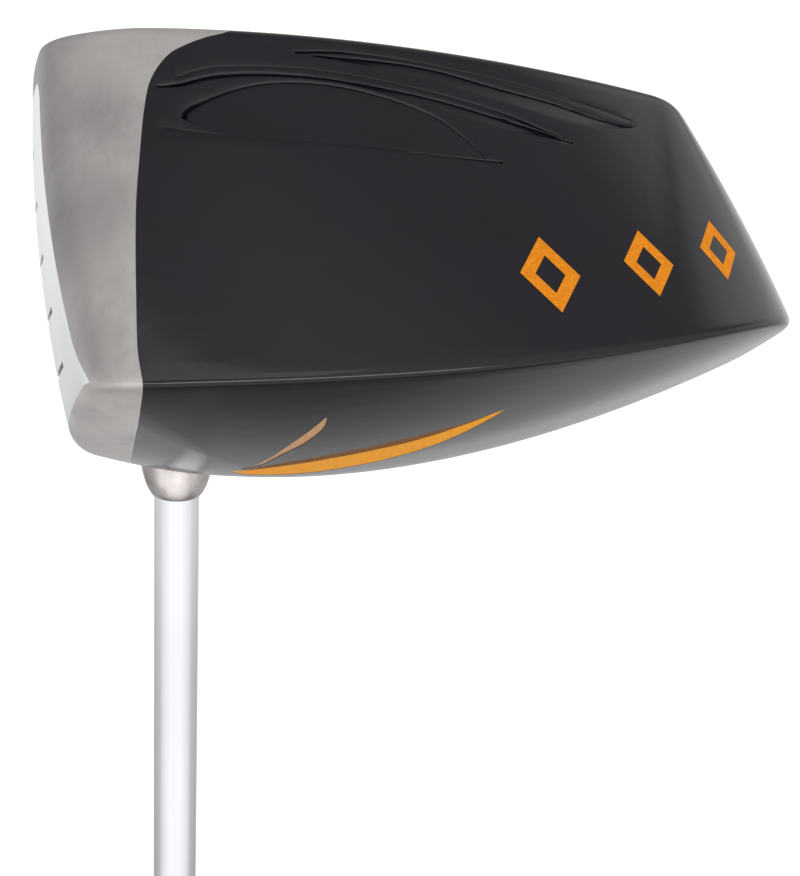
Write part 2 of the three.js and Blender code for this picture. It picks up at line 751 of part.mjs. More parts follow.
// The face plate with its score lines.
function scoredFace(plate) {
  let scored = plate;
  for (let row = 0; row < scoreLineCount; row += 1) {
    scored = scored.subtract(scoreLine(row, 1)).subtract(scoreLine(row, -1));
  }
  return scored;
}

// The room inside the head, clear of its walls.
const room = solid(headBody(true, fit));

// A block standing on the sole's inside, centred on a place of the plan and trimmed to the room.
function soleBlock({ length, width, x, y, top }) {
  const height = top + soleBottomDrop;
  const block = new THREE.BoxGeometry(length, width, height).translate(x, y, top - height / 2);
  return solid(block).intersect(room);
}

// The ribs stand side by side, from behind the corner weights to just before the rear weight.
const weightRear = soleEdge.rear - soleRearBow;
const ribRear = weightRear - rearWeightDepth - ribRearGap;

function ribPlace(index) {
  return faceCentre + (index - (ribCount - 1) / 2) * ribSpacing;
}

function rib(index) {
  return soleBlock({
    length: ribRear - ribSetBack, width: ribThickness, x: (ribRear + ribSetBack) / 2,
    y: ribPlace(index), top: ribHeight - soleEdgeDrop
  });
}

function rearWeight() {
  return soleBlock({
    length: rearWeightDepth, width: rearWeightWidth, x: weightRear - rearWeightDepth / 2,
    y: (soleEdge.rearToe + soleEdge.rearHeel) / 2, top: weightHeight + soleEdgeRearRise - soleEdgeDrop
  });
}

function cornerWeight(y) {
  const height = weightHeight + soleBottomDrop - soleEdgeDrop;
  const weight = new THREE.CylinderGeometry(weightRadius, weightRadius, height, roundSides);
  weight.rotateX(Math.PI / 2);
  return solid(weight.translate(cornerWeightSetBack, y, height / 2 - soleBottomDrop)).intersect(room);
}

// A low dome of glue that has set on the sole, on the toe side of the ribs.
function gluePad() {
  const toward = ribPlace(ribCount - 1) + ribThickness / 2 + gluePadRibGap + gluePadRadius;
  const top = gluePadHeight + soleBottomDrop - soleEdgeDrop + soleEdgeRearRise;
  const profile = Array.from({ length: domeSteps }, (unused, step) => {
    const angle = Math.PI / 2 * step / domeSteps;
    return [gluePadRadius * Math.cos(angle), top * Math.sin(angle)];
  });
  const dome = turning([[0, 0], ...profile, [0, top]]).rotateX(Math.PI / 2);
  return solid(dome.translate(gluePadSetBack, toward, -soleBottomDrop)).intersect(room);
}

// The web between the hosel and the heel wall, trimmed to both.
function brace() {
  const lie = THREE.MathUtils.degToRad(lieDegrees);
  const onAxis = distance => new THREE.Vector2(distance * Math.cos(lie), -distance * Math.sin(lie));
  const outward = new THREE.Vector2(soleHeelInset, 0);
  const corners = [onAxis(braceTop), onAxis(braceBottom)];
  corners.push(corners[1].clone().sub(outward), corners[0].clone().sub(outward));
  const geometry = new THREE.ExtrudeGeometry(
    new THREE.Shape(corners), { depth: braceThickness, bevelEnabled: false }
  );
  geometry.rotateX(Math.PI / 2).rotateZ(Math.PI / 2).translate(-braceThickness / 2, 0, 0);
  return solid(geometry).intersect(room).subtract(hosel(fit));
}

// Height of the hosel rim and of the shaft's tip over the butt of the grip.
const rimHeight = clubLength - soleBottomDrop / Math.sin(THREE.MathUtils.degToRad(lieDegrees));
const tipHeight = rimHeight + shaftInsertion;
const gripBottom = gripCapThickness + fit;

// The tube of the shaft, which narrows from butt to tip in short sloping steps. Its bore narrows evenly.
function shaftTube() {
  const stepSize = (shaftButtRadius - shaftTipRadius) / shaftStepCount;
  const lastStep = tipHeight - shaftFirstStep;
  const firstStep = lastStep - (shaftStepCount - 1) * shaftStepSpacing;
  const outside = [[shaftButtRadius, gripBottom]];
  for (let step = 0; step < shaftStepCount; step += 1) {
    const height = firstStep + step * shaftStepSpacing;
    const radius = shaftButtRadius - step * stepSize;
    outside.push([radius, height], [radius - stepSize, height + shaftStepSlope]);
  }
  const inside = [
    [shaftTipRadius - shaftWall, tipHeight], [shaftTipRadius - shaftWall, lastStep],
    [shaftButtRadius - shaftWall, firstStep - shaftStepSpacing], [shaftButtRadius - shaftWall, gripBottom]
  ];
  return turning([...outside, [shaftTipRadius, tipHeight], ...inside]).rotateX(Math.PI / 2);
}

function tipPlug() {
  const radius = shaftTipRadius - shaftWall - bondGap;
  const plug = new THREE.CylinderGeometry(radius, radius, plugLength, roundSides).rotateX(Math.PI / 2);
  return plug.translate(0, 0, tipHeight - plugLength / 2);
}

// The layer of tape between the shaft and the grip.
const tapeBore = shaftButtRadius + bondGap;
const gripBore = tapeBore + tapeThickness + gripSeam;
const tapeTop = gripLength - tapeMouthSetback;

function gripTape() {
  const outer = tapeBore + tapeThickness;
  const bottom = gripBottom + fit;
  const profile = [[outer, bottom], [outer, tapeTop], [tapeBore, tapeTop], [tapeBore, bottom]];
  return turning(profile).rotateX(Math.PI / 2);
}

// The grip: a tapered sleeve whose mouth closes on the bare shaft.
function gripSleeve() {
  const flare = new THREE.QuadraticBezierCurve(
    new THREE.Vector2(gripButtRadius, gripBottom + gripCapRound),
    new THREE.Vector2((gripButtRadius + gripMouthRadius) / 2 - gripMouthRound, gripLength * gripFlareShare),
    new THREE.Vector2(gripMouthRadius, gripLength - gripMouthRound)
  );
  const rounded = gripMouthRadius - gripMouthRound / 2;
  const outside = [
    [gripButtRadius - gripCapRound, gripBottom],
    ...flare.getPoints(gripSteps).map(point => point.toArray()),
    [rounded, gripLength]
  ];
  const inside = [
    [tapeBore, gripLength], [tapeBore, tapeTop + fit], [gripBore, tapeTop + fit], [gripBore, gripBottom]
  ];
  return turning([...outside, ...inside]).rotateX(Math.PI / 2);
}

// The cap that closes the butt of the grip, with a spigot in the shaft and a vent hole through it.
function gripEndCap() {
  const spigotTop = gripCapThickness + gripCapSpigotLength;
  const rim = gripButtRadius - gripCapRound;
  return turning([
    [gripVentRadius, 0], [rim - gripCapRound, 0], [rim, gripCapRound], [rim, gripCapThickness],
    [gripCapSpigotRadius, gripCapThickness], [gripCapSpigotRadius, spigotTop], [gripVentRadius, spigotTop]
  ]).rotateX(Math.PI / 2);
}

// The materials, each with a name of its own.
function look(color, roughness, metalness) {
  return new THREE.MeshStandardMaterial({ color, roughness, metalness });
}

const blackPaint = look(0x2c2a2e, 0.25, 0.1);
const satinMetal = look(0xa9a5a2, 0.42, 1);
const faceMetal = look(0xe6ebea, 0.35, 0.6);
const orangePaint = look(0xe08a1e, 0.3, 0.5);
const chrome = look(0xdfe2ee, 0.08, 1);
const rubber = look(0x1d1d1f, 0.85, 0);
const tape = look(0xd8d2c0, 0.8, 0);
const castMetal = look(0x8f8b88, 0.55, 0.9);
const glue = look(0xd9c68c, 0.5, 0);

function part(name, shape, material) {
  const geometry = shape.isBufferGeometry ? shape : geometryOf(shape);
  const mesh = new THREE.Mesh(geometry, material.clone());
  mesh.name = name;
  return mesh;
}

// The head, in its own frame.
const head = new THREE.Group();
const shell = shellPieces();
head.add(part("face_plate", scoredFace(shell.face), faceMetal));
head.add(part("front_cup", shell.cup, satinMetal));
head.add(part("crown_shell", shell.crown, blackPaint));
head.add(part("skirt_shell", shell.skirt, blackPaint));
head.add(part("sole_plate", shell.sole, satinMetal));
head.add(part("slash_inlay_long", inlay(longSlash), orangePaint));
head.add(part("slash_inlay_short", inlay(shortSlash), orangePaint));
head.add(part("hosel_tube", hosel(0), satinMetal));
head.add(part("hosel_brace", brace(), castMetal));
head.add(part("heel_weight", cornerWeight(soleHeel + cornerWeightInset), castMetal));
head.add(part("toe_weight", cornerWeight(soleToe - cornerWeightInset), castMetal));
head.add(part("rear_weight", rearWeight(), castMetal));
head.add(part("sole_rib_1", rib(0), castMetal));
head.add(part("sole_rib_2", rib(1), castMetal));
head.add(part("sole_rib_3", rib(2), castMetal));
head.add(part("hot_melt_pad", gluePad(), glue));
head.rotation.x = Math.PI / 2 + THREE.MathUtils.degToRad(lieDegrees);
head.position.z = rimHeight;

// The shaft and the grip, along the Z axis.
const club = new THREE.Group();
club.add(head);
club.add(part("shaft_tube", shaftTube(), chrome));
club.add(part("tip_plug", tipPlug(), castMetal));
club.add(part("grip_tape", gripTape(), tape));
club.add(part("grip_sleeve", gripSleeve(), rubber));
club.add(part("grip_end_cap", gripEndCap(), rubber));

export default club;
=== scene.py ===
"""Golf driver: a squared-back hollow head, a stepped chrome shaft and a rubber grip.

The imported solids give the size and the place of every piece. This file dresses them: it models the visible
surfaces more finely, gives every piece its finish, and sets the stage, the light and the camera.
"""

import math

import bmesh
import bpy
from bpy.props import FloatProperty, FloatVectorProperty, IntProperty, PointerProperty
from mathutils import Matrix, Vector
from mathutils.bvhtree import BVHTree


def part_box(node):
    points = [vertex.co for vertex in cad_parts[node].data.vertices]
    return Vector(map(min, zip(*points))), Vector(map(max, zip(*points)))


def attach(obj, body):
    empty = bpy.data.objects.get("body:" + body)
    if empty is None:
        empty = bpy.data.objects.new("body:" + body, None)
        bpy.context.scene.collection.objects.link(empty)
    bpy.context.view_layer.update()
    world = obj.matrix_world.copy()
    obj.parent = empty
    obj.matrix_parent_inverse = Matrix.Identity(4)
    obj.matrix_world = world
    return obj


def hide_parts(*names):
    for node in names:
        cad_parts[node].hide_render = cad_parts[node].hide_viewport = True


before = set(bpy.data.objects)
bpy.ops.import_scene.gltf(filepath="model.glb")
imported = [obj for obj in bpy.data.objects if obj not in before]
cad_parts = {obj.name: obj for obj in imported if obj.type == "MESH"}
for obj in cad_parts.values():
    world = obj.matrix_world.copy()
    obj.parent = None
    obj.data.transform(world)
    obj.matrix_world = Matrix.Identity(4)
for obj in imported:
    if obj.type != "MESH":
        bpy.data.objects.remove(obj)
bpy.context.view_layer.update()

bl_info = {
    "name": "Golf driver",
    "version": (1, 0, 0),
    "blender": (4, 5, 0),
    "location": "View3D > Sidebar > Golf driver",
    "description": "Dresses the solids of a golf driver with fine surfaces, finishes, light and a camera",
    "category": "Object",
}

MM = 0.001
BODY = "root"
X, Y, Z = range(3)
LOW, HIGH = range(2)


def reach(node, corner, axis):
    """A coordinate of the lowest or the highest corner of a solid's box, in millimetres."""
    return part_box(node)[corner][axis] / MM


LIE = math.radians(60)
SHAFT_IN_HOSEL = 38.0
HEAD_ZERO_HEIGHT = reach("shaft_tube", HIGH, Z) - SHAFT_IN_HOSEL

# The head has a frame of its own, in millimetres: x from the face to the rear, y from heel to toe and z from
# sole to crown. Its zero is the point of the shaft line just outside the hosel rim.
HEAD_PLACE = (Matrix.Translation((0, 0, HEAD_ZERO_HEIGHT * MM)) @ Matrix.Rotation(math.pi / 2 + LIE, 4, "X")
              @ Matrix.Scale(MM, 4))

# Outlines of the head at its crown edge and at its sole edge.
CROWN = dict(toe=113, heel=-9, rear=100, face=-16.25, width=104, bow=5.3, rear_toe=92, rear_heel=20,
             rear_bow=2.5, rear_setback=24)
SOLE = dict(toe=92, heel=19, rear=82.2, face=-23.3, width=64, bow=3.2, rear_toe=77.5, rear_heel=31.5,
            rear_bow=2.5, rear_setback=3)
FACE_CENTRE = 56
FRONT_SETBACK = 4
CROWN_TOP = Vector((15, 62, 0.3))
SOLE_BOTTOM = Vector((22, 56, -67))
CROWN_DROP, CROWN_REAR_FALL, FACE_TOP_RISE = 7.4, 16.1, 2.5
SOLE_DROP, SOLE_REAR_RISE, SOLE_FRONT_RISE = 64.9, 6.2, 1.9
SOLE_LOWEST = SOLE["face"] / 4
CROWN_FALL_POWER, SOLE_REAR_POWER, SOLE_FRONT_POWER = 2.65, 1.5, 2

# The domes of crown and sole, the rounding of their edges, and the swell of the walls. The sole's edge is
# rounded less in front, and the change runs forwards from its start over its length.
DOME_POWER, DOME_ROW_POWER = 1.75, 1.3
CROWN_ROUND, SOLE_ROUND, FRONT_SOLE_ROUND = 1.4, 2.3, 1.3
ROUND_CHANGE_START, ROUND_CHANGE_LENGTH = 5, 25
FACE_ROLL, WALL_SWELL = 2.0, 0.8

# Curves on the walls as (x, z), and on the crown as (x, y).
SCOOP = (
    [(1.3, -49.3), (2, -50.8), (5, -52.4), (10.2, -54.5), (16.2, -55.5), (23.6, -55.3), (31.1, -53.8),
     (38.7, -51.1), (43.8, -47.3), (46.5, -44.6)],
    [(1.5, -49.1), (3.8, -47.6), (7.5, -46.5), (13, -45.8), (19, -45.1), (25.5, -44.6), (32, -44.3),
     (38.5, -44.1), (43, -43.9), (47, -43.8)],
)
SCOOP_FOOT = (
    [(-1.2, -47.6), (4.3, -46.8), (13.8, -45.8), (23.9, -45.1), (36.5, -44.35), (43.1, -44.05),
     (49.5, -43.65)],
    [(-1.1, -47.4), (4.4, -46.5), (13.8, -45.5), (23.9, -44.8), (36.5, -43.95), (43.1, -43.6),
     (49.4, -43.45)],
)
LOW_GILL = (
    [(-2.4, -54.6), (1, -55.1), (6.5, -56.5), (15, -56.9), (25, -56.1), (37.5, -54.2), (48.5, -51.6),
     (61, -48.1)],
    [(-2.3, -54.3), (1.3, -54.4), (6.8, -55.7), (15, -56.2), (25.3, -55.5), (37.5, -52.7), (48.5, -49.8),
     (61, -47.9)],
)
LOW_END = (
    [(49, -51.35), (52.5, -50.65), (55.1, -50), (57.8, -49.2), (60.2, -48.35)],
    [(49.2, -51.2), (52.5, -50.25), (55.1, -49.45), (57.8, -48.7), (60.1, -48.1)],
)
LOW_LINE = (
    [(0.5, -56.2), (5.8, -57.8), (15.4, -58.1), (25.1, -57.4), (39.4, -55), (50, -52.4), (59.6, -48.9)],
    [(0.8, -55.8), (6, -57.3), (15.4, -57.6), (25, -56.9), (39.3, -54.5), (49.6, -51.7), (59.5, -48.6)],
)
HIGH_GILL = (
    [(20.6, -60.3), (31.4, -59.9), (39.7, -59), (49, -56.9), (57.9, -55.2), (65.5, -53.2), (71.5, -52.4)],
    [(21, -60), (31.4, -58.4), (39.7, -56.9), (49, -54.5), (57.9, -52.5), (65.5, -51.4), (71.3, -52.2)],
)
HIGH_LINE = (
    [(18, -60.8), (25, -61.2), (35, -60.4), (46.9, -58.7), (56.5, -57.1), (66.2, -55), (71.3, -53.6)],
    [(18.4, -60.4), (25, -60.6), (35, -59.9), (46.7, -58.2), (56.3, -56.6), (65.8, -54.6), (71, -53.3)],
)
SHORT_SLASH = (
    [(11.2, 66), (13.5, 70.6), (14.8, 74.6), (16.2, 79), (18.1, 85.1), (21.3, 93.9), (23.1, 99.1)],
    [(11.5, 65.8), (14.1, 70.2), (15.9, 75.2), (17.6, 79.8), (20.4, 85.9), (22.8, 93.1), (23.4, 98.4)],
)
LONG_SLASH = (
    [(9.9, 60.8), (14.3, 69), (18.6, 73.6), (25, 78.2), (32.3, 82.4), (39.6, 86), (45.5, 88.9),
     (50.3, 92)],
    [(9.8, 59), (13.1, 55.4), (21, 57.3), (29, 62.3), (36.5, 69.4), (42.3, 76.8), (47.5, 85.8),
     (50.5, 91.7)],
)
CUP_EDGE = [(-2.7, 6.5), (-2.9, -5.8), (-3.8, -12.7), (-4, -20.2), (-4.1, -27.9), (-4, -35.8),
            (-3.5, -43), (-2.85, -50.5), (-1.8, -55.8), (0.7, -59.8), (3.6, -61.7), (6.6, -63),
            (10.4, -64.5), (17, -70)]

# The rear edge of the bare metal moves forwards from toe to heel by this much.
CUP_SWEEP = 5.4

# The seam of the face: its lowest and highest height, and how far it lies inside the head's outline. It
# turns outward at its upper corners, as (height, distance).
FACE_LOW, FACE_HIGH, FACE_SEAM_INSET = -57.5, -8.2, 3.8
FACE_LOW_ROUND = 4
FACE_CORNER = ((-15, 0), (-12, 0.8), (-10, 1.8), (-8.4, 2.4))
FACE_CUT_FROM, FACE_CUT_TO = -45, -9

# The seam of the sole plate lies this far inside the sole's outline, with this gap round the plate.
SOLE_SEAM, SOLE_GAP = 9, 0.3
SOLE_CUT_FROM, SOLE_CUT_TO = -72, -56

# The rounded lip of a recess as (outward, height), from the surface over to the leaning wall.
LIP = ((0.5, 0.035), (0.24, -0.012), (0.09, -0.056), (-0.04, -0.14), (-0.17, -0.3))
LIP_DEPTH = 0.32
CUTTER_REACH, CUTTER_RISE = 0.9, 1.2

# How far a wall leans for its depth, and the most of a recess's width that its two walls take.
WALL_LEAN, WALLS_SHARE = 0.58, 0.9

# Width of a strip at its pointed ends, and the most of a strip's half width that a gap takes.
TIP, GAP_SHARE = 0.4, 0.6

# The recesses of each side wall: their two curves, and the depths under each at its start, middle and end.
RECESSES = (
    (SCOOP, ((1.1, 0.42, 0.1), (0.04, 0.04, 0.04))),
    (SCOOP_FOOT, ((0.12, 0.1, 0.35), (0.12, 0.1, 0.35))),
    (LOW_END, ((0.8, 0.9, 0.8), (0.8, 0.9, 0.8))),
    (LOW_GILL, ((0.9, 0.35, 0.5), (0.04, 0.04, 0.04))),
    (LOW_LINE, ((0.2, 0.1, 0.7), (0.2, 0.1, 0.7))),
    (HIGH_GILL, ((0.4, 0.45, 0.3), (0.04, 0.04, 0.04))),
    (HIGH_LINE, ((0.8, 0.12, 0.12), (0.8, 0.12, 0.12))),
)

# The paint in the slashes: its curves, its heights and gaps at both, the setting of its colour and the
# solid that it stands for. A gap below zero is the paint's width from the other curve. The long slash's
# orange is painted brighter than the marks' orange, as painted light; the short slash's paler orange is a
# painted sheen; and the brown strip along the long slash's upper edge is a painted shadow.
SLASH_DEPTH, SLASH_CUT_TOP, PAINT_TIP = 1.4, 2, 0.36
SLASH_PAINTS = (
    ("short_slash_paint", SHORT_SLASH, (-0.05, -0.1), (0.02, 0.02), "slash_painted_sheen", ("slash_inlay_short",)),
    ("long_slash_paint", LONG_SLASH, (-0.1, -0.04), (3.6, 0.02), "slash", ("slash_inlay_long",)),
    ("slash_edge_paint", LONG_SLASH, (-0.1, -0.1), (0.02, -3.58), "slash_edge", ()),
)

# The score lines of the face, in rows from the highest down, on both sides of a bare middle.
SCORE = dict(rows=5, highest=-13.4, spacing=8.7, middle=14, reach=32, taper=0.3)
SCORE_CUT = dict(top=2, depth=0.7, width=0.9)
# A dark fill lies in each score line, a little under the face.
SCORE_FILL = dict(top=-0.25, depth=0.9, width=0.88)

# The marks on the toe wall as (centre, half sizes), how far they lean, the share of a mark that is open,
# and how deep they sink into the paint.
MARKS = (((55.6, -25.5), (4.6, 6)), ((71.3, -28.5), (4, 5.4)), ((83.4, -32), (3.2, 5)))
MARK_LEAN, MARK_OPENING, MARK_SINK, MARK_SIDE_STEPS = 0.3, 0.5, 0.2, 6

# The hosel: its rim's height over the head's zero, and then heights from the rim into the head. Its bowl is
# drawn from a first to a last (radius, height), towards the middle one.
HOSEL = dict(rim=1.6, rim_radius=4.6, bore=4.3, bevel=0.1, bevel_height=0.25, neck=7.35, neck_from=12,
             end=20)
HOSEL_BOWL = ((4.75, 0), (6.2, 1.9), (6.85, 7))
HOSEL_BOWL_STEPS = 24

# The shaft: its tip's radius, the wall of its tube, its steps, its straight tip, and where the edges of a
# step are softened.
SHAFT = dict(tip=4.25, wall=0.4, steps=13, spacing=44, straight_tip=250, above=0.3, below=0.2, edge=0.03)

# The grip and its end cap. The grooves begin and end at shares of the grip's length, and every division of
# the grip has this many points, with the groove at two of them.
GRIP = dict(edge=1, waist=(9.55, 89.3), mouth=8.9, mouth_edge=0.8, mouth_edge_height=1.6, bore=8.09,
            collar=7.72)
GROOVES_FROM, GROOVES_TO, GROOVE_STEPS, GROOVE_AT = 0.1, 0.92, 6, (2, 3)
CAP = dict(vent=1.5, plug=6.4, flange=3, edge=1, edge_middle=(0.3, 0.4), rings=(9.1, 6.1), ring_depth=0.35)
CAP_RING_HALF, CAP_RING_FLOOR_HALF = 0.4, 0.2

# Steps round every turned piece.
TURN_STEPS = 96

# Darker clouds in the bare metal of the front as (place in the head, from, to, level).
CLOUDS = (((-15, 100, -32), 3, 13, 0.7), ((-10, 95, -52), 1, 8, 0.86), ((-6.5, 101, -37), 1, 8, 0.84))


def sizes():
    """The sizes that a user can change."""
    return bpy.context.scene.driver_sizes


def finishes():
    """The colours and levels that a user can change."""
    return bpy.context.scene.driver_finishes


# Curves and surfaces of the head


def spline(points, count):
    """Points of a smooth curve through the given ones, at even steps of its parameter."""
    knots = [Vector(p) for p in points]
    last = len(knots) - 1
    curve = []
    for step in range(count + 1):
        place = last * step / count
        index = min(int(place), last - 1)
        t = place - index
        before, here = knots[max(index - 1, 0)], knots[index]
        there, after = knots[index + 1], knots[min(index + 2, last)]
        v0, v1 = (there - before) / 2, (after - here) / 2
        curve.append((2 * here - 2 * there + v0 + v1) * t ** 3
                     + (-3 * here + 3 * there - 2 * v0 - v1) * t * t + v0 * t + here)
    return curve


def bezier(start, corner, end, share):
    """A point of the curve from start to end that is drawn towards a corner."""
    return start * (1 - share) ** 2 + corner * 2 * share * (1 - share) + end * share * share


def crown_edge_height(x):
    """Height of the crown's edge, which falls towards the rear."""
    share = max((x - CROWN["face"]) / (CROWN["rear"] - CROWN["face"]), 0)
    return -CROWN_DROP - CROWN_REAR_FALL * share ** CROWN_FALL_POWER


def sole_edge_height(x):
    """Height of the sole's edge, which rises towards the rear and a little towards the face."""
    behind = (x - SOLE_LOWEST) / (SOLE["rear"] - SOLE_LOWEST)
    ahead = (SOLE_LOWEST - x) / (SOLE_LOWEST - SOLE["face"])
    return (-SOLE_DROP + SOLE_REAR_RISE * abs(behind) ** SOLE_REAR_POWER
            + SOLE_FRONT_RISE * max(ahead, 0) ** SOLE_FRONT_POWER)


def outline_sides(edge):
    """The four bowed sides of an outline as (from, to, bow), in order from the heel end of the face."""
    front, back = edge["face"] + edge["bow"], edge["rear"] - edge["rear_bow"]
    heel_front = Vector((front, FACE_CENTRE - edge["width"] / 2))
    toe_front = Vector((front, FACE_CENTRE + edge["width"] / 2))
    toe_rear, heel_rear = Vector((back, edge["rear_toe"])), Vector((back, edge["rear_heel"]))
    toe_bow = edge["toe"] - (toe_front.y + toe_rear.y) / 2
    heel_bow = (heel_front.y + heel_rear.y) / 2 - edge["heel"]
    return [
        (heel_front, toe_front, Vector((-edge["bow"], 0))),
        (toe_front, toe_rear, Vector((0, toe_bow))),
        (toe_rear, heel_rear, Vector((edge["rear_bow"], 0))),
        (heel_rear, heel_front, Vector((0, -heel_bow))),
    ]


def side_point(side, share):
    """A point of a bowed side."""
    start, end, bow = side
    return start.lerp(end, share) + bow * 4 * share * (1 - share)


def side_way(side, share):
    """The direction of a bowed side at one of its points."""
    start, end, bow = side
    return end - start + bow * 4 * (1 - 2 * share)


def crossing(a, way_a, b, way_b):
    """Where two lines of the plan meet."""
    along = (b - a).x * way_b.y - (b - a).y * way_b.x
    return a + way_a * (along / (way_a.x * way_b.y - way_a.y * way_b.x))


def outline(edge, steps):
    """A closed outline with rounded corners as (point, how far it belongs to the face)."""
    sides = outline_sides(edge)
    setbacks = [FRONT_SETBACK, FRONT_SETBACK, edge["rear_setback"], edge["rear_setback"]]
    side_steps = [steps, steps, steps * 2 // 3, steps]
    corner_steps = [steps // 5, steps // 5, steps // 2, steps // 2]
    points = []
    for index, side in enumerate(sides):
        after = (index + 1) % 4
        length, next_length = (side[1] - side[0]).length, (sides[after][1] - sides[after][0]).length
        begin, end = setbacks[index] / length, 1 - setbacks[after] / length
        next_begin = setbacks[after] / next_length
        for step in range(side_steps[index]):
            share = begin + (end - begin) * step / side_steps[index]
            points.append((side_point(side, share), float(index == 0)))
        start, finish = side_point(side, end), side_point(sides[after], next_begin)
        corner = crossing(start, side_way(side, end), finish, side_way(sides[after], next_begin))
        for step in range(corner_steps[after]):
            share = step / corner_steps[after]
            face = 1 - share if index == 0 else share if index == 3 else 0.0
            points.append((bezier(start, corner, finish, share), face))
    return points


def outline_normal(points, index):
    """The outward direction at a point of an outline."""
    way = points[(index + 1) % len(points)][0] - points[index - 1][0]
    return Vector((-way.y, way.x)).normalized()


def lift(plan, height):
    """A point of the plan at a height."""
    return Vector((plan.x, plan.y, height))


def dome_point(edge, top, share):
    """A point of a dome, on the way from its edge to its top."""
    point = edge.lerp(top, share)
    point.z = edge.z + (top.z - edge.z) * (1 - (1 - share) ** DOME_POWER)
    return point


def head_column(crown_at, sole_at, normal, face, fineness):
    """Points from beside the crown's top down the wall to beside the sole's bottom."""
    toe_share = (crown_at.y - FACE_CENTRE) / (CROWN["width"] / 2)
    rise = face * FACE_TOP_RISE * (1 - min(toe_share * toe_share, 1))
    upper = lift(crown_at, crown_edge_height(max(crown_at.x, CROWN["face"])) + rise)
    lower = lift(sole_at, sole_edge_height(sole_at.x))
    swell = WALL_SWELL + (FACE_ROLL - WALL_SWELL) * face
    out = lift(normal, 0)

    def wall(share):
        return upper.lerp(lower, share) + out * 4 * share * (1 - share) * swell

    front = min(max((ROUND_CHANGE_START - sole_at.x) / ROUND_CHANGE_LENGTH, 0), 1)
    sole_radius = SOLE_ROUND + (FRONT_SOLE_ROUND - SOLE_ROUND) * front
    crown_round = CROWN_ROUND / (upper - CROWN_TOP).xy.length
    sole_round = sole_radius / (lower - SOLE_BOTTOM).xy.length
    begin, end = CROWN_ROUND / (upper.z - lower.z), 1 - sole_radius / (upper.z - lower.z)
    dome_rows, round_rows, wall_rows = fineness, fineness // 2, fineness * 2
    shares = [(1 - step / dome_rows) ** DOME_ROW_POWER for step in range(1, dome_rows + 1)]
    crown_rows = [dome_point(upper, CROWN_TOP, crown_round + (1 - crown_round) * share) for share in shares]
    sole_rows = [dome_point(lower, SOLE_BOTTOM, sole_round + (1 - sole_round) * share) for share in shares]
    column = list(crown_rows)
    rounding = [step / round_rows for step in range(1, round_rows)]
    column += [bezier(crown_rows[-1], upper, wall(begin), share) for share in rounding]
    column += [wall(begin + (end - begin) * step / wall_rows) for step in range(wall_rows + 1)]
    column += [bezier(wall(end), lower, sole_rows[-1], share) for share in rounding]
    return column + sole_rows[::-1]


def ring_edges(bm, ring):
    """The edges of a closed ring of vertices."""
    return [bm.edges.get((ring[i - 1], ring[i])) for i in range(len(ring))]


def next_ring(bm, ring):
    """Extrudes a closed ring of vertices and returns the new ring in the same order."""
    extruded = bmesh.ops.extrude_edge_only(bm, edges=ring_edges(bm, ring))["geom"]
    fresh = {v for v in extruded if isinstance(v, bmesh.types.BMVert)}
    return [next(e.other_vert(v) for e in v.link_edges if e.other_vert(v) in fresh) for v in ring]


def tube(rings):
    """An open mesh through rings of points, extruded ring by ring from a circle, and its two end rings."""
    bm = bmesh.new()
    first = bmesh.ops.create_circle(bm, cap_ends=False, segments=len(rings[0]), radius=1)["verts"]
    ring = first
    for number, points in enumerate(rings):
        if number > 0:
            ring = next_ring(bm, ring)
        for vert, point in zip(ring, points):
            vert.co = point
    return bm, first, ring


def turn_outwards(bm):
    """Turns the faces of a closed mesh outwards."""
    bmesh.ops.recalc_face_normals(bm, faces=bm.faces)
    if bm.calc_volume(signed=True) < 0:
        bmesh.ops.reverse_faces(bm, faces=bm.faces)


def lofted(rings, tips=(None, None)):
    """A closed mesh through rings of points, with flat or pointed ends."""
    bm, first, last = tube(rings)
    for end, tip in zip((first, last), tips):
        cap = bmesh.ops.edgeloop_fill(bm, edges=ring_edges(bm, end))["faces"]
        if tip:
            bmesh.ops.poke(bm, faces=cap)["verts"][0].co = tip
    turn_outwards(bm)
    return bm


def head_solid():
    """The closed body of the head."""
    fineness = sizes().fineness
    crown, sole = (outline(edge, steps=fineness * 4) for edge in (CROWN, SOLE))
    columns = [head_column(crown[i][0], sole[i][0], outline_normal(crown, i), crown[i][1], fineness)
               for i in range(len(crown))]
    return lofted([list(row) for row in zip(*columns)], tips=(CROWN_TOP, SOLE_BOTTOM))


def place_on(tree, axis, sign):
    """A function that lays a point onto a surface along an axis, moved out by a distance."""
    way = Vector((0, 0, 0))
    way[axis] = sign
    far = 300

    def place(point, out):
        start = Vector((*point[:axis], sign * far, *point[axis:]))
        return (tree.ray_cast(start, -way)[0] or tree.find_nearest(start)[0]) + way * out

    return place


def head_places(solid):
    """Functions that lay points onto the head's sides, by the name of the side."""
    tree = BVHTree.FromBMesh(solid)
    sides = {"toe": (Y, 1), "heel": (Y, -1), "crown": (Z, 1), "face": (X, -1)}
    return {side: place_on(tree, axis, sign) for side, (axis, sign) in sides.items()}


def head_place(side):
    """A function that lays points onto one side of the head."""
    solid = head_solid()
    place = head_places(solid)[side]
    solid.free()
    return place


def between(values, share):
    """A value from the ones at the start, the middle and the end, which change mostly near the ends."""
    first, middle, last = values
    start, end = max(1 - 2 * share, 0) ** 2, max(2 * share - 1, 0) ** 2
    return middle + (first - middle) * start + (last - middle) * end


def groove(first, second):
    """The two sides of a recess with leaning walls and rounded lips, from the depths at each curve."""
    lip = sizes().lip / MM

    def sides(share, half):
        depths = [between(values, share) for values in (first, second)]
        fit = min(1, 2 * WALLS_SHARE * half / sum(depths) / WALL_LEAN)
        both = []
        for depth in depths:
            size = min(lip, depth * fit / LIP_DEPTH)
            rounding = [(out * size, height * size) for out, height in LIP]
            foot = (-depth * fit * WALL_LEAN, -depth * fit)
            both.append([(size * CUTTER_REACH, CUTTER_RISE), *rounding, foot])
        return both

    return sides


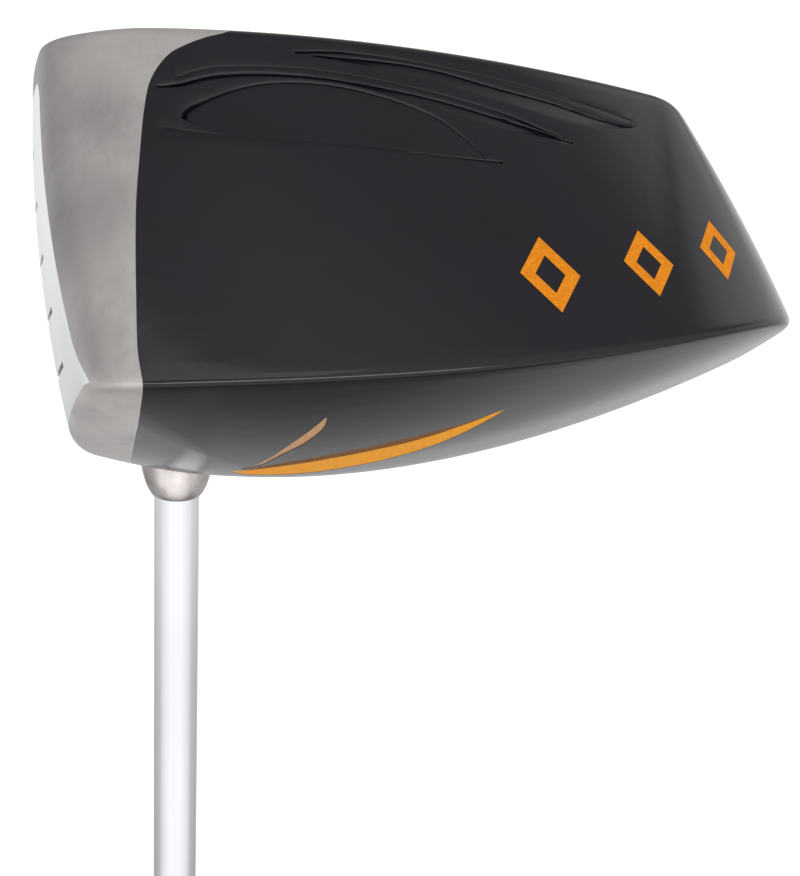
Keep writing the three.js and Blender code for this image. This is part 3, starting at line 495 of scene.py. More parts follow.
def straight(tops, depth, gaps=(0, 0)):
    """The two upright sides of a fill or a slot, from the height of its top and its gap at each curve.

    A gap below zero is the fill's width from the other curve.
    """
    def inward(gap, half):
        distance = min(abs(gap), half * GAP_SHARE)
        return distance if gap >= 0 else 2 * half - distance

    def sides(share, half):
        return [[(-inward(gap, half), top), (-inward(gap, half), -depth)] for top, gap in zip(tops, gaps)]

    return sides


def strip(curves, place, sides, steps=40, tip=TIP):
    """A closed strip between two curves on a surface, with the given sections along it."""
    first, second = (spline(points, steps) for points in curves)
    sections = []
    for index, (start, end) in enumerate(zip(first, second)):
        across = start - end
        if across.length <= tip / 2:
            across = first[steps // 2] - second[steps // 2]
        half, across, centre = max((start - end).length, tip) / 2, across.normalized(), (start + end) / 2
        left, right = sides(index / steps, half)
        sections.append([place(centre + across * (half + out), height) for out, height in left]
                        + [place(centre - across * (half + out), height) for out, height in reversed(right)])
    return lofted(sections)


def frame_plate(outer, inner, place, top, bottom):
    """A thin closed frame on a surface, between an outer and an inner ring of points."""
    rings = ((outer, top), (inner, top), (inner, bottom), (outer, bottom))
    bm, first, last = tube([[place(point, height) for point in points] for points, height in rings])
    bmesh.ops.bridge_loops(bm, edges=ring_edges(bm, last) + ring_edges(bm, first))
    turn_outwards(bm)
    return bm


def lozenge(centre, half_sizes, share):
    """A ring of points round a leaning lozenge, its sides in even steps."""
    lean = Vector((-half_sizes.x * MARK_LEAN, 0))
    across, up = Vector((half_sizes.x, 0)), Vector((0, half_sizes.y))
    tips = [across, up - lean, -across, -up + lean]
    return [centre + tips[index].lerp(tips[(index + 1) % 4], step / MARK_SIDE_STEPS) * share
            for index in range(4) for step in range(MARK_SIDE_STEPS)]


def score_lines(place, top, depth, width):
    """The score lines of the face, as strips on the toe side and the heel side of its bare middle."""
    lines = []
    for row in range(SCORE["rows"]):
        height = SCORE["highest"] - row * SCORE["spacing"]
        outer = SCORE["reach"] - row * SCORE["spacing"] * SCORE["taper"]
        for side in (1, -1):
            ends = [FACE_CENTRE + side * SCORE["middle"], FACE_CENTRE + side * outer]
            edges = [[(y, height + rise) for y in ends] for rise in (width / 2, -width / 2)]
            lines.append(strip(edges, place, straight((top, top), depth), steps=12))
    return lines


def face_half_width(height):
    """Half the width of the face inside its seam."""
    share = (height + SOLE_DROP) / (SOLE_DROP - CROWN_DROP)
    return (SOLE["width"] + (CROWN["width"] - SOLE["width"]) * share) / 2 - FACE_SEAM_INSET


def face_cutter():
    """A prism through the face inside its seam, which ends where the rounded corners begin."""
    low, high = face_half_width(FACE_LOW), face_half_width(FACE_HIGH)
    begin, corner = Vector((low - FACE_LOW_ROUND, FACE_LOW)), Vector((low, FACE_LOW))
    end = Vector((face_half_width(FACE_LOW + FACE_LOW_ROUND), FACE_LOW + FACE_LOW_ROUND))
    half_steps, round_steps = 12, 6
    lower = [bezier(begin, corner, end, step / round_steps) for step in range(round_steps + 1)]
    upper = [Vector((high * step / half_steps, FACE_HIGH + FACE_TOP_RISE * (1 - (step / half_steps) ** 2)))
             for step in range(half_steps, -half_steps - 1, -1)]
    corner_points = [Vector((face_half_width(height) + out, height)) for height, out in FACE_CORNER]
    side = lower + corner_points
    ring = side + upper + [Vector((-p.x, p.y)) for p in reversed(side)]
    return lofted([[Vector((x, FACE_CENTRE + p.x, p.y)) for p in ring]
                   for x in (FACE_CUT_FROM, FACE_CUT_TO)])


def cup_cutter():
    """The front of the head, up to the rear edge of the bare metal."""
    profile = spline(CUP_EDGE, count=60)
    outside = [Vector((FACE_CUT_FROM, profile[-1].y)), Vector((FACE_CUT_FROM, profile[0].y))]
    breadth, margin, steps = CROWN["toe"] - CROWN["heel"], 4, 24
    rings = []
    for step in range(steps + 1):
        y = CROWN["toe"] + margin - (breadth + 2 * margin) * step / steps
        share = (CROWN["toe"] - y) / breadth
        sweep = CUP_SWEEP * share * (2 - share)
        rings.append([Vector((p.x - sweep, y, p.y)) for p in profile]
                     + [Vector((p.x, y, p.y)) for p in outside])
    return lofted(rings)


def sole_cutter(inset):
    """A prism through the sole inside its seam."""
    centre = Vector(((SOLE["rear"] + SOLE["face"]) / 2, (SOLE["toe"] + SOLE["heel"]) / 2))
    half = Vector(((SOLE["rear"] - SOLE["face"]) / 2, (SOLE["toe"] - SOLE["heel"]) / 2))
    ring = [Vector((centre.x + (p.x - centre.x) * (1 - inset / half.x),
                    centre.y + (p.y - centre.y) * (1 - inset / half.y))) for p, _ in outline(SOLE, steps=40)]
    return lofted([[lift(p, height) for p in ring] for height in (SOLE_CUT_FROM, SOLE_CUT_TO)])


# Meshes and pieces


def mesh_object(name, bm):
    """An object of the scene made from a bmesh, which is freed."""
    mesh = bpy.data.meshes.new(name)
    bm.to_mesh(mesh)
    bm.free()
    obj = bpy.data.objects.new(name, mesh)
    bpy.context.scene.collection.objects.link(obj)
    return obj


def combined(name, base, cutters, operation):
    """The base mesh cut or met by a row of closed meshes, as a new bmesh."""
    obj = mesh_object(name, base)
    tools = [mesh_object(f"{name}_cutter_{index}", cutter) for index, cutter in enumerate(cutters)]
    for tool in tools:
        step = obj.modifiers.new("cut", "BOOLEAN")
        step.operation, step.solver, step.object = operation, "MANIFOLD", tool
    bpy.context.view_layer.update()
    evaluated = obj.evaluated_get(bpy.context.evaluated_depsgraph_get())
    bm = bmesh.new()
    bm.from_mesh(evaluated.to_mesh())
    evaluated.to_mesh_clear()
    for gone in [obj, *tools]:
        mesh = gone.data
        bpy.data.objects.remove(gone)
        bpy.data.meshes.remove(mesh)
    return bm


def gathered(parts):
    """Several closed meshes as one."""
    whole = bmesh.new()
    for part in parts:
        mesh = bpy.data.meshes.new("part")
        part.to_mesh(mesh)
        part.free()
        whole.from_mesh(mesh)
        bpy.data.meshes.remove(mesh)
    return whole


def piece(name, bm, material, replaces=(), place=None, sharp=30.0):
    """A finished piece at its place, smooth but for its sharp edges, riding on the body."""
    if place:
        bmesh.ops.transform(bm, matrix=place, verts=bm.verts)
    obj = mesh_object(name, bm)
    obj.data.materials.append(material)
    obj.data.shade_smooth()
    obj.data.set_sharp_from_angle(angle=math.radians(sharp))
    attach(obj, BODY)
    if replaces:
        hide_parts(*replaces)
    return obj


def turned(name, profile, material, replaced, sharp):
    """A piece turned about the shaft line from a closed profile of (radius, height) in millimetres."""
    bm = bmesh.new()
    verts = [bmesh.ops.create_vert(bm, co=(radius * MM, 0, height * MM))["vert"][0]
             for radius, height in profile]
    edges = [bm.edges.new((verts[i - 1], verts[i])) for i in range(len(verts))]
    bmesh.ops.spin(bm, geom=verts + edges, cent=(0, 0, 0), axis=(0, 0, 1), angle=2 * math.pi,
                   steps=TURN_STEPS, use_merge=True)
    bmesh.ops.remove_doubles(bm, verts=bm.verts, dist=1e-7)
    turn_outwards(bm)
    return piece(name, bm, material, (replaced,), None, sharp)


# Finishes

WHITE = (1, 1, 1, 1)
FLOOR_COLOUR = (0.9, 0.9, 0.9, 1)
HOSEL_COLOUR = (0.78, 0.73, 0.715)
CHROME_DIM, CHROME_BRIGHT = (0.83, 0.84, 0.88), (0.88, 0.89, 0.92)
RUBBER_DARK, RUBBER_PALE = (0.012, 0.012, 0.013), (0.022, 0.022, 0.024)
SCORE_COLOUR = (0.1, 0.1, 0.1)

# Painted shade and painted highlights across bare metal as (axis, from, to, first level, last level), in
# millimetres. The front is painted darker towards the face, and brighter, as a painted highlight, at the
# crease that a point of the crown's edge marks, over a reach of heights from there. The hosel is painted
# darker at one side and past its middle, with a painted highlight beyond.
FRONT_PAINTED_SHADE = ("X", -23, -5, 0.74, 1)
CREASE_POINT, CREASE_REACH, CREASE_HIGHLIGHT_LEVEL = (-8, 105, -CROWN_DROP), (-2, 4), 1.42
HOSEL_PAINTED_LIGHT = (("X", -4.4, -3, 0.72, 1), ("X", 0.6, 2.6, 1, 0.64), ("X", 2.8, 5, 1, 1.8))

# Fineness of the brushed grain across and along it.
FRONT_GRAIN, HOSEL_GRAIN = (500, 500, 60), (400, 400, 90)

# Finishes of the solids that keep their shape: colour, roughness, how metallic, fineness of grain, solids.
INNER_FINISHES = (
    ("cast_metal", (0.27, 0.26, 0.25), 0.55, 1.0, 400,
     ("hosel_brace", "heel_weight", "toe_weight", "rear_weight", "sole_rib_1", "sole_rib_2", "sole_rib_3")),
    ("set_glue", (0.69, 0.56, 0.26), 0.45, 0.0, 120, ("hot_melt_pad",)),
    ("plug_brass", (0.57, 0.34, 0.07), 0.4, 1.0, 300, ("tip_plug",)),
    ("cloth_tape", (0.68, 0.64, 0.53), 0.85, 0.0, 900, ("grip_tape",)),
)


class Nodes:
    """The node tree of a material or of the surroundings, built up node by node."""

    def __init__(self, owner):
        owner.use_nodes = True
        self.owner, self.nodes, self.links = owner, owner.node_tree.nodes, owner.node_tree.links

    def feed(self, socket, value):
        """Links an output to a socket, or sets the socket to a number or a colour."""
        if isinstance(value, bpy.types.NodeSocket):
            self.links.new(value, socket)
        else:
            socket.default_value = value

    def add(self, kind, output, inputs=None, **settings):
        """Adds a node with its settings, feeds its inputs, and returns one of its outputs."""
        node = self.nodes.new("ShaderNode" + kind)
        for setting, value in settings.items():
            setattr(node, setting, value)
        for socket, value in (inputs or {}).items():
            self.feed(node.inputs[socket], value)
        return node.outputs[output]

    def math(self, operation, *values):
        """A calculation with one or more values."""
        return self.add("Math", 0, dict(enumerate(values)), operation=operation)

    def mix(self, share, first, second):
        """A value between two others."""
        return self.add("Mix", "Result", {"Factor": share, "A": first, "B": second})

    def blend(self, share, first, second):
        """A shader between two others."""
        return self.add("MixShader", 0, {0: share, 1: first, 2: second})

    def ramp(self, value, *stops):
        """A colour from a value, with stops as (place, colour)."""
        node = self.nodes.new("ShaderNodeValToRGB")
        elements = node.color_ramp.elements
        while len(elements) < len(stops):
            elements.new(0.5)
        for element, (place, colour) in zip(elements, stops):
            element.position, element.color = place, (*colour, 1)
        self.links.new(value, node.inputs["Fac"])
        return node.outputs["Color"]


class Finish(Nodes):
    """A material with a Principled shader, on the coordinates of its object."""

    def __init__(self, name, **sockets):
        super().__init__(bpy.data.materials.new(name))
        self.shader = self.nodes["Principled BSDF"]
        for socket, value in sockets.items():
            self.to(socket.replace("_", " "), value)
        self.place = self.add("TexCoord", "Object")

    def to(self, socket, value):
        """Feeds a socket of the shader."""
        self.feed(self.shader.inputs[socket], value)
        return self

    def mapped(self, scale):
        """The place on the object, stretched along its axes."""
        return self.add("Mapping", "Vector", {"Vector": self.place, "Scale": scale})

    def noise(self, scale, detail=3.0, roughness=0.5, vector=None):
        """A cloudy value, about 0.5 on average."""
        return self.add("TexNoise", "Fac", {"Vector": vector or self.place, "Scale": scale, "Detail": detail,
                                            "Roughness": roughness})

    def cells(self, scale, output="Distance"):
        """The distance to the middle of a small cell, or the cell's own colour."""
        return self.add("TexVoronoi", output, {"Vector": self.place, "Scale": scale})

    def ranged(self, value, low, high, from_low=0.3, from_high=0.7):
        """A value brought from one range to another."""
        return self.add("MapRange", "Result", {"Value": value, "From Min": from_low, "From Max": from_high,
                                               "To Min": low, "To Max": high})

    def along(self, axis):
        """The place along one axis of the object."""
        return self.add("SeparateXYZ", axis, {"Vector": self.place})

    def scaled(self, colour, level):
        """A colour made brighter or darker by a level."""
        return self.add("VectorMath", 0, {0: colour, "Scale": level}, operation="SCALE")

    def open_sky(self, distance):
        """How open a place is to its surroundings: less in the corners of a recess."""
        return self.add("AmbientOcclusion", "AO", {"Distance": distance}, samples=6)

    def away_from(self, point, near, far, level):
        """A level round a point of the head, which reaches 1 at the far distance."""
        distance = self.add("VectorMath", "Value", {0: self.place, 1: HEAD_PLACE @ Vector(point)},
                            operation="DISTANCE")
        return self.ranged(distance, level, 1, near * MM, far * MM)

    def bump(self, height, distance, strength=1.0):
        """A normal that follows small heights."""
        return self.add("Bump", "Normal", {"Height": height, "Distance": distance, "Strength": strength})


def shade(colour, factor):
    """A colour made brighter or darker, up to full brightness."""
    return tuple(min(channel * factor, 1.0) for channel in colour)


def gloss_paint():
    """Black gloss paint with a sprayed coat's faint ripple and painted shade in the corners of recesses."""
    look = finishes()
    f = Finish("black_gloss_paint", Metallic=0.0, IOR=1.42)
    colour, haze = tuple(look.paint), 0.05
    f.to("Base Color", f.ramp(f.noise(scale=60), (0.3, shade(colour, 0.9)), (0.7, shade(colour, 1.15))))
    rough = look.paint_roughness
    f.to("Roughness", f.ranged(f.noise(scale=900, detail=4), rough, rough + haze))
    # Painted shade: the reflection is made weaker where the paint is less open to its surroundings.
    openness = f.open_sky(distance=0.0016)
    f.to("Specular IOR Level", f.ranged(openness, low=0.02, high=0.5, from_low=0.5, from_high=0.92))
    return f.to("Normal", f.bump(f.noise(scale=320, detail=2), distance=0.00002)).owner


def brushed_metal(name, colour, low, high, grain, painted_light_fades, clouds=(), metallic=0.45, cloud_scale=60,
                  contrast=1.0):
    """Bare satin metal: cloudy patches, a fine grain, painted shade and highlight across it, levels round
    points.
    """
    f = Finish(name, Metallic=metallic)
    streak_share, darker_by, brighter_by = 0.3, 0.16 * contrast, 0.1 * contrast
    cloudy = f.noise(cloud_scale, detail=2, roughness=0.4)
    streaks = f.noise(scale=1.0, detail=3, roughness=0.6, vector=f.mapped(grain))
    darker, brighter = shade(colour, 1 - darker_by), shade(colour, 1 + brighter_by)
    base = f.ramp(f.mix(streak_share, cloudy, streaks), (0.36, darker), (0.5, colour), (0.64, brighter))
    # Painted shade and highlights: the colour is scaled by levels along an axis.
    for axis, start, end, first, last in painted_light_fades:
        base = f.scaled(base, f.ranged(f.along(axis), first, last, start * MM, end * MM))
    for point, near, far, level in clouds:
        base = f.scaled(base, f.away_from(point, near, far, level))
    f.to("Base Color", base).to("Roughness", f.ranged(cloudy, low, high))
    return f.to("Normal", f.bump(streaks, distance=0.00001, strength=0.4)).owner


def face_metal():
    """The striking face: pale, evenly blasted metal."""
    colour = tuple(finishes().face_metal)
    f = Finish("face_metal", Metallic=1.0)
    clouds, blast = f.noise(scale=45, detail=4), f.noise(scale=2500, detail=2)
    f.to("Base Color", f.ramp(clouds, (0.35, shade(colour, 0.95)), (0.65, shade(colour, 1.03))))
    f.to("Roughness", f.ranged(blast, low=0.32, high=0.42))
    return f.to("Normal", f.bump(f.noise(scale=3500, detail=2), distance=0.00001, strength=0.5)).owner


def flake_paint(name, colour):
    """Paint with fine metal flake."""
    f = Finish(name, Metallic=0.0, Specular_IOR_Level=0.04)
    cell = f.cells(scale=2600, output="Color")
    first, second, third = [f.add("SeparateColor", channel, {"Color": cell})
                            for channel in ("Red", "Green", "Blue")]
    dull, bright = (0.1, shade(colour, 0.9)), (0.97, shade(colour, 1.14))
    f.to("Base Color", f.ramp(first, dull, (0.6, colour), bright))
    f.to("Roughness", f.ranged(second, low=0.42, high=0.6, from_low=0, from_high=1))
    return f.to("Normal", f.bump(third, distance=0.000008, strength=0.4)).owner


def chrome():
    """Bright chrome plate with the faintest haze of handling."""
    f = Finish("chrome_plate", Metallic=1.0)
    f.to("Base Color", f.ramp(f.noise(scale=25, detail=3), (0.3, CHROME_DIM), (0.7, CHROME_BRIGHT)))
    return f.to("Roughness", f.ranged(f.noise(scale=70, detail=5), low=0.03, high=0.09)).owner


def grip_rubber():
    """Black rubber with a fine moulded grain."""
    f = Finish("grip_rubber", Metallic=0.0, Specular_IOR_Level=0.35)
    f.to("Base Color", f.ramp(f.noise(scale=30, detail=4), (0.3, RUBBER_DARK), (0.7, RUBBER_PALE)))
    f.to("Roughness", f.ranged(f.noise(scale=260, detail=4), low=0.62, high=0.82))
    return f.to("Normal", f.bump(f.cells(scale=1400), distance=0.00015, strength=0.6)).owner


def plain(name, colour, roughness, metallic, grain):
    """A simple finish with some unevenness."""
    f = Finish(name, Metallic=metallic)
    spread = 0.06
    clouds = f.noise(grain / 8, detail=4)
    f.to("Base Color", f.ramp(clouds, (0.3, shade(colour, 0.85)), (0.7, shade(colour, 1.1))))
    f.to("Roughness", f.ranged(f.noise(grain, detail=3), roughness - spread, roughness + spread))
    return f.to("Normal", f.bump(f.noise(grain * 2, detail=3), distance=0.00005, strength=0.5)).owner


def dress(names, material):
    """Gives solids of the frame their finish."""
    for name in names:
        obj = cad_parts[name]
        obj.data.materials.clear()
        obj.data.materials.append(material)


# Surroundings, lamps, floor and camera

# Levels of the surroundings as stops of (component of the direction, level). Depth runs towards the viewer.
CEILING_DEPTH = ((-1, 0.36), (-0.7, 0.25), (-0.5, 0.32), (-0.3, 0.5), (0.03, 0.56), (0.2, 0.85),
                 (0.32, 0.96), (1, 1.06))
CEILING_BREADTH = ((-1, 0.74), (-0.4, 0.74), (-0.1, 1), (1, 1))
FAR_FLOOR = ((-1, 0.18), (-0.9, 0.19), (-0.87, 0.34), (-0.77, 0.5), (-0.66, 0.46), (-0.56, 0.5),
             (-0.47, 0.62), (-0.41, 0.78), (-0.36, 1), (0.1, 1))
NEAR_FLOOR = ((-1, 0.8), (-0.9, 1), (-0.8, 1.12), (-0.3, 1.12), (0, 1.05))
DIM_FLOOR = ((-1, 0.22), (-0.9, 0.24), (-0.8, 0.4), (-0.7, 0.62), (-0.6, 0.95), (-0.5, 1.12), (-0.3, 1.12),
             (0, 1.05))
SIDES = ((-1, 1), (-0.85, 1), (-0.72, 0.8), (-0.5, 0.9), (-0.35, 0.93), (-0.2, 0.95), (-0.05, 0.97),
         (0.2, 0.9), (0.5, 0.83), (0.75, 0.93), (0.9, 1), (1, 1))

# Soft changes of the surroundings as (from, to): from floor to ceiling, from the far floor to the near one,
# and the lower and upper ends of the belt where the sides differ.
HORIZON, FLOOR_CHANGE, BELT_BOTTOM, BELT_TOP = (0, 0.2), (-0.1, 0.5), (-0.7, -0.55), (0, 0.2)

# The bright window at the side, past the rear of the head: its direction, its soft edge and its level.
SIDE_WINDOW, WINDOW_EDGE, WINDOW_LEVEL = (0.727, 0.528, 0.438), (0.88, 0.985), 0.85

# The bright panel on the viewer's side: its soft lower and upper edges, its sides and its level.
PANEL_BOTTOM, PANEL_TOP, PANEL_SIDES, PANEL_LEVEL = (-0.3, -0.22), (-0.12, -0.04), (0.84, 0.92), 6

# The lamps as (place from the head's zero, size), in metres, and the fill's share of the key's power.
KEY_LAMP = (Vector((-0.5, -1.2, 1.3)), (1.2, 1.2))
FILL_LAMP = (Vector((1.3, -0.6, 0.2)), (1.0, 1.6))
FILL_SHARE = 0.35

# The floor, in metres, and how much it glows for the camera.
FLOOR_HALF, FLOOR_DROP, FLOOR_GLOW = 30, 0.001, 0.45

# The camera, found from the photographed head: its place from the head's zero in millimetres, its angles,
# and its focal length in pixels of the picture's height.
CAMERA_PLACE = Vector((6.6, -398.6, 191.2))
CAMERA_AZIMUTH, CAMERA_ELEVATION, CAMERA_ROLL = math.radians(-5), math.radians(24), math.radians(2.728)
FOCAL_PIXELS, PICTURE_HEIGHT, SENSOR_HEIGHT = 2344.94, 876, 24
CLIP_NEAR, CLIP_FAR = 0.01, 100


def area_lamp(name, place, aim, size, power):
    """A rectangular lamp that is turned to a point."""
    data = bpy.data.lights.new(name, "AREA")
    data.shape, data.size, data.size_y = "RECTANGLE", size[0], size[1]
    data.energy = power
    lamp = bpy.data.objects.new(name, data)
    bpy.context.scene.collection.objects.link(lamp)
    lamp.location = place
    lamp.rotation_euler = (aim - place).to_track_quat("-Z", "Y").to_euler()
    return lamp


class World(Nodes):
    """The surroundings."""

    def __init__(self):
        super().__init__(bpy.data.worlds.new("studio"))
        self.nodes.clear()

    def smooth(self, value, low, high):
        """0 below low, 1 above high, and a soft change between them."""
        return self.add("MapRange", "Result", {"Value": value, "From Min": low, "From Max": high},
                        interpolation_type="SMOOTHSTEP")

    def level(self, value, stops):
        """A level along a direction's component, from stops of (component, level)."""
        halved = [(component / 2 + 0.5, (level / 2, level / 2, level / 2)) for component, level in stops]
        return self.math("MULTIPLY", self.ramp(self.math("MULTIPLY_ADD", value, 0.5, 0.5), *halved), 2)

    def background(self, level):
        """White surroundings of a level."""
        return self.add("Background", 0, {"Color": WHITE, "Strength": level})


def studio_world():
    """White where the camera sees it, softly shaped where a gloss mirrors it, and plain as a light."""
    w = World()
    bpy.context.scene.world = w.owner
    way = w.add("TexCoord", "Generated")
    path = w.nodes.new("ShaderNodeLightPath").outputs
    breadth, back, height = (w.add("SeparateXYZ", axis, {"Vector": way}) for axis in "XYZ")
    near, depth = w.math("MULTIPLY", back, -1), w.math("MULTIPLY", height, -1)
    ceiling = w.math("MULTIPLY", w.level(near, CEILING_DEPTH), w.level(breadth, CEILING_BREADTH))
    deep = w.smooth(path["Glossy Depth"], 1, 2)
    near_floor = w.mix(deep, w.level(height, NEAR_FLOOR), w.level(height, DIM_FLOOR))
    just_over_one = 1.001
    flat = w.math("SQRT", w.math("SUBTRACT", just_over_one, w.math("MULTIPLY", height, height)))
    facing = w.math("DIVIDE", near, flat)
    belt = w.math("MULTIPLY", w.smooth(height, *BELT_BOTTOM), w.smooth(depth, *BELT_TOP))
    below = w.mix(w.smooth(near, *FLOOR_CHANGE), w.level(height, FAR_FLOOR), near_floor)
    below = w.math("MULTIPLY", below, w.mix(belt, 1.0, w.level(facing, SIDES)))
    around = w.mix(w.smooth(height, *HORIZON), below, ceiling)
    toward = w.add("VectorMath", "Value", {0: way, 1: SIDE_WINDOW}, operation="DOT_PRODUCT")
    window = w.math("MULTIPLY", w.smooth(toward, *WINDOW_EDGE), WINDOW_LEVEL)
    rows = w.math("SUBTRACT", w.smooth(height, *PANEL_BOTTOM), w.smooth(height, *PANEL_TOP))
    panel = w.math("MULTIPLY", rows, w.smooth(facing, *PANEL_SIDES))
    lights = w.math("ADD", window, w.math("MULTIPLY", panel, PANEL_LEVEL))
    mirrored = w.background(w.math("ADD", around, lights))
    seen = w.math("MAXIMUM", path["Is Camera Ray"], path["Is Transmission Ray"])
    unseen = w.blend(path["Is Glossy Ray"], w.background(finishes().sky_light), mirrored)
    out = w.nodes.new("ShaderNodeOutputWorld")
    w.feed(out.inputs["Surface"], w.blend(seen, unseen, w.background(1.0)))


def studio_floor():
    """A pale floor that keeps the shadow, and lets a gloss mirror the surroundings below it."""
    bm = bmesh.new()
    bmesh.ops.create_grid(bm, x_segments=1, y_segments=1, size=FLOOR_HALF)
    bmesh.ops.translate(bm, verts=bm.verts, vec=(0, 0, -FLOOR_DROP))
    floor = mesh_object("studio_floor", bm)
    f = Finish("pale_floor", Base_Color=FLOOR_COLOUR, Roughness=1.0, Specular_IOR_Level=0.0,
               Emission_Color=WHITE)
    path = f.nodes.new("ShaderNodeLightPath").outputs
    f.to("Emission Strength", f.math("MULTIPLY", path["Is Camera Ray"], FLOOR_GLOW))
    surface = f.blend(path["Is Glossy Ray"], f.shader.outputs[0], f.add("BsdfTransparent", 0))
    f.feed(f.nodes["Material Output"].inputs["Surface"], surface)
    floor.data.materials.append(f.owner)


def photo_camera(zero):
    """A camera that sees the head as the photograph does."""
    data = bpy.data.cameras.new("camera")
    camera = bpy.data.objects.new("camera", data)
    bpy.context.scene.collection.objects.link(camera)
    flat, rise = math.cos(CAMERA_ELEVATION), math.sin(CAMERA_ELEVATION)
    back = Vector((math.sin(CAMERA_AZIMUTH) * flat, -math.cos(CAMERA_AZIMUTH) * flat, rise))
    level = Vector((math.cos(CAMERA_AZIMUTH), math.sin(CAMERA_AZIMUTH), 0))
    upright = back.cross(level)
    right = level * math.cos(CAMERA_ROLL) + upright * math.sin(CAMERA_ROLL)
    up = upright * math.cos(CAMERA_ROLL) - level * math.sin(CAMERA_ROLL)
    turn = Matrix((right, up, back)).transposed().to_4x4()
    camera.matrix_world = Matrix.Translation(zero + CAMERA_PLACE * MM) @ turn
    data.sensor_fit, data.sensor_height = "VERTICAL", SENSOR_HEIGHT
    data.lens = FOCAL_PIXELS * SENSOR_HEIGHT / PICTURE_HEIGHT
    data.clip_start, data.clip_end = CLIP_NEAR, CLIP_FAR
    return camera


# Sizes and colours that a user would change


class DriverSizes(bpy.types.PropertyGroup):
    """Sizes of the visible pieces."""

    fineness: IntProperty(name="Fineness", description="Rows of the head's fine surface", default=12, min=4,
                          max=24)
    lip: FloatProperty(name="Recess lips", description="Size of the rounded lips of the recesses",
                       default=0.001, min=0, unit="LENGTH")
    mark_lift: FloatProperty(name="Mark thickness", description="Height of the painted marks over the paint",
                             default=0.00005, min=0, unit="LENGTH")
    step_slope: FloatProperty(name="Step slope", description="Length of each shaft step's slope",
                              default=0.0015, min=0, unit="LENGTH")
    grip_rings: IntProperty(name="Grip rings", description="Divisions of the grip, with a groove in most",
                            default=42, min=1)
    groove_depth: FloatProperty(name="Groove depth", description="Depth of the grip's grooves",
                                default=0.00035, min=0, unit="LENGTH")


class DriverFinishes(bpy.types.PropertyGroup):
    """Colours and gloss of the finishes, and the level of the light."""

    paint: FloatVectorProperty(name="Paint", description="Black gloss paint", subtype="COLOR",
                               default=(0.0068, 0.0052, 0.0092))
    paint_roughness: FloatProperty(name="Paint roughness", description="Blur of the paint's reflections",
                                   subtype="FACTOR", default=0.12, min=0, max=1)
    satin: FloatVectorProperty(name="Satin metal", description="Bare satin metal of the front",
                               subtype="COLOR", default=(0.46, 0.44, 0.43))
    face_metal: FloatVectorProperty(name="Face metal", description="Pale metal of the face", subtype="COLOR",
                                    default=(0.9, 0.91, 0.91))
    orange: FloatVectorProperty(name="Orange", description="Orange flake paint of the marks",
                                subtype="COLOR", default=(0.8, 0.26, 0.014))
    # The long slash's orange is a brighter copy of the marks' orange: painted light on the crown's dim
    # underside.
    slash: FloatVectorProperty(name="Long slash", description="Orange flake paint of the long slash",
                               subtype="COLOR", default=(0.98, 0.385, 0.02))
    # The brown line is a painted shadow along the shaded upper wall of the long slash.
    slash_edge: FloatVectorProperty(name="Slash edge", description="Brown line along the long slash",
                                    subtype="COLOR", default=(0.22, 0.095, 0.028))
    # The short slash's paler orange is a painted sheen on the same orange paint.
    slash_painted_sheen: FloatVectorProperty(name="Short slash", description="Paler flake paint of the short slash",
                                    subtype="COLOR", default=(0.6, 0.34, 0.175))
    sky_light: FloatProperty(name="Sky light", description="Level of the light all around", default=0.85,
                             min=0)
    key_light: FloatProperty(name="Key light", description="Power of the large lamp", default=4.0, min=0,
                             subtype="POWER")


# Operators, one for each group of pieces


class DRIVER_OT_head(bpy.types.Operator):
    """Models the painted body, the bare front, the face and the sole plate from one fine surface"""
    bl_idname = "driver.head"
    bl_label = "Head"

    def execute(self, context):
        solid = head_solid()
        places = head_places(solid)
        cut = straight((SLASH_CUT_TOP, SLASH_CUT_TOP), SLASH_DEPTH)
        slashes = [strip(curves, places["crown"], cut) for curves in (SHORT_SLASH, LONG_SLASH)]
        hollows = [strip(curves, places[side], groove(*depths))
                   for side in ("toe", "heel") for curves, depths in RECESSES]
        whole = combined("head_cut", solid, hollows + slashes, "DIFFERENCE")
        front = combined("front_cut", whole.copy(), [cup_cutter()], "INTERSECT")
        rear = combined("rear_cut", whole, [cup_cutter()], "DIFFERENCE")
        plate = combined("face_cut", front.copy(), [face_cutter()], "INTERSECT")
        plate = combined("face_lines", plate, score_lines(places["face"], **SCORE_CUT), "DIFFERENCE")
        fills = gathered(score_lines(places["face"], **SCORE_FILL))
        front = combined("cup_cut", front, [face_cutter()], "DIFFERENCE")
        bottom = combined("plate_cut", rear.copy(), [sole_cutter(SOLE_SEAM)], "INTERSECT")
        painted = combined("painted_cut", rear, [sole_cutter(SOLE_SEAM - SOLE_GAP)], "DIFFERENCE")
        # The painted highlight along the crease of the bare front.
        crease = (HEAD_PLACE @ Vector(CREASE_POINT)).z / MM
        crease_painted_highlight = ("Z", *[crease + rise for rise in CREASE_REACH], CREASE_HIGHLIGHT_LEVEL, 1)
        satin = brushed_metal("satin_front_metal", tuple(finishes().satin), low=0.44, high=0.58,
                              grain=FRONT_GRAIN, painted_light_fades=(FRONT_PAINTED_SHADE, crease_painted_highlight), clouds=CLOUDS)
        # The dark fill of the score lines.
        score_paint = plain("score_paint", SCORE_COLOUR, roughness=0.5, metallic=0.0, grain=900)
        piece("painted_body", painted, gloss_paint(), ("crown_shell", "skirt_shell"),
              HEAD_PLACE)
        piece("bare_front", front, satin, ("front_cup",), HEAD_PLACE)
        piece("face_skin", plate, face_metal(), ("face_plate",), HEAD_PLACE)
        piece("score_paint", fills, score_paint, (), HEAD_PLACE)
        piece("sole_skin", bottom, satin, ("sole_plate",), HEAD_PLACE)
        return {"FINISHED"}


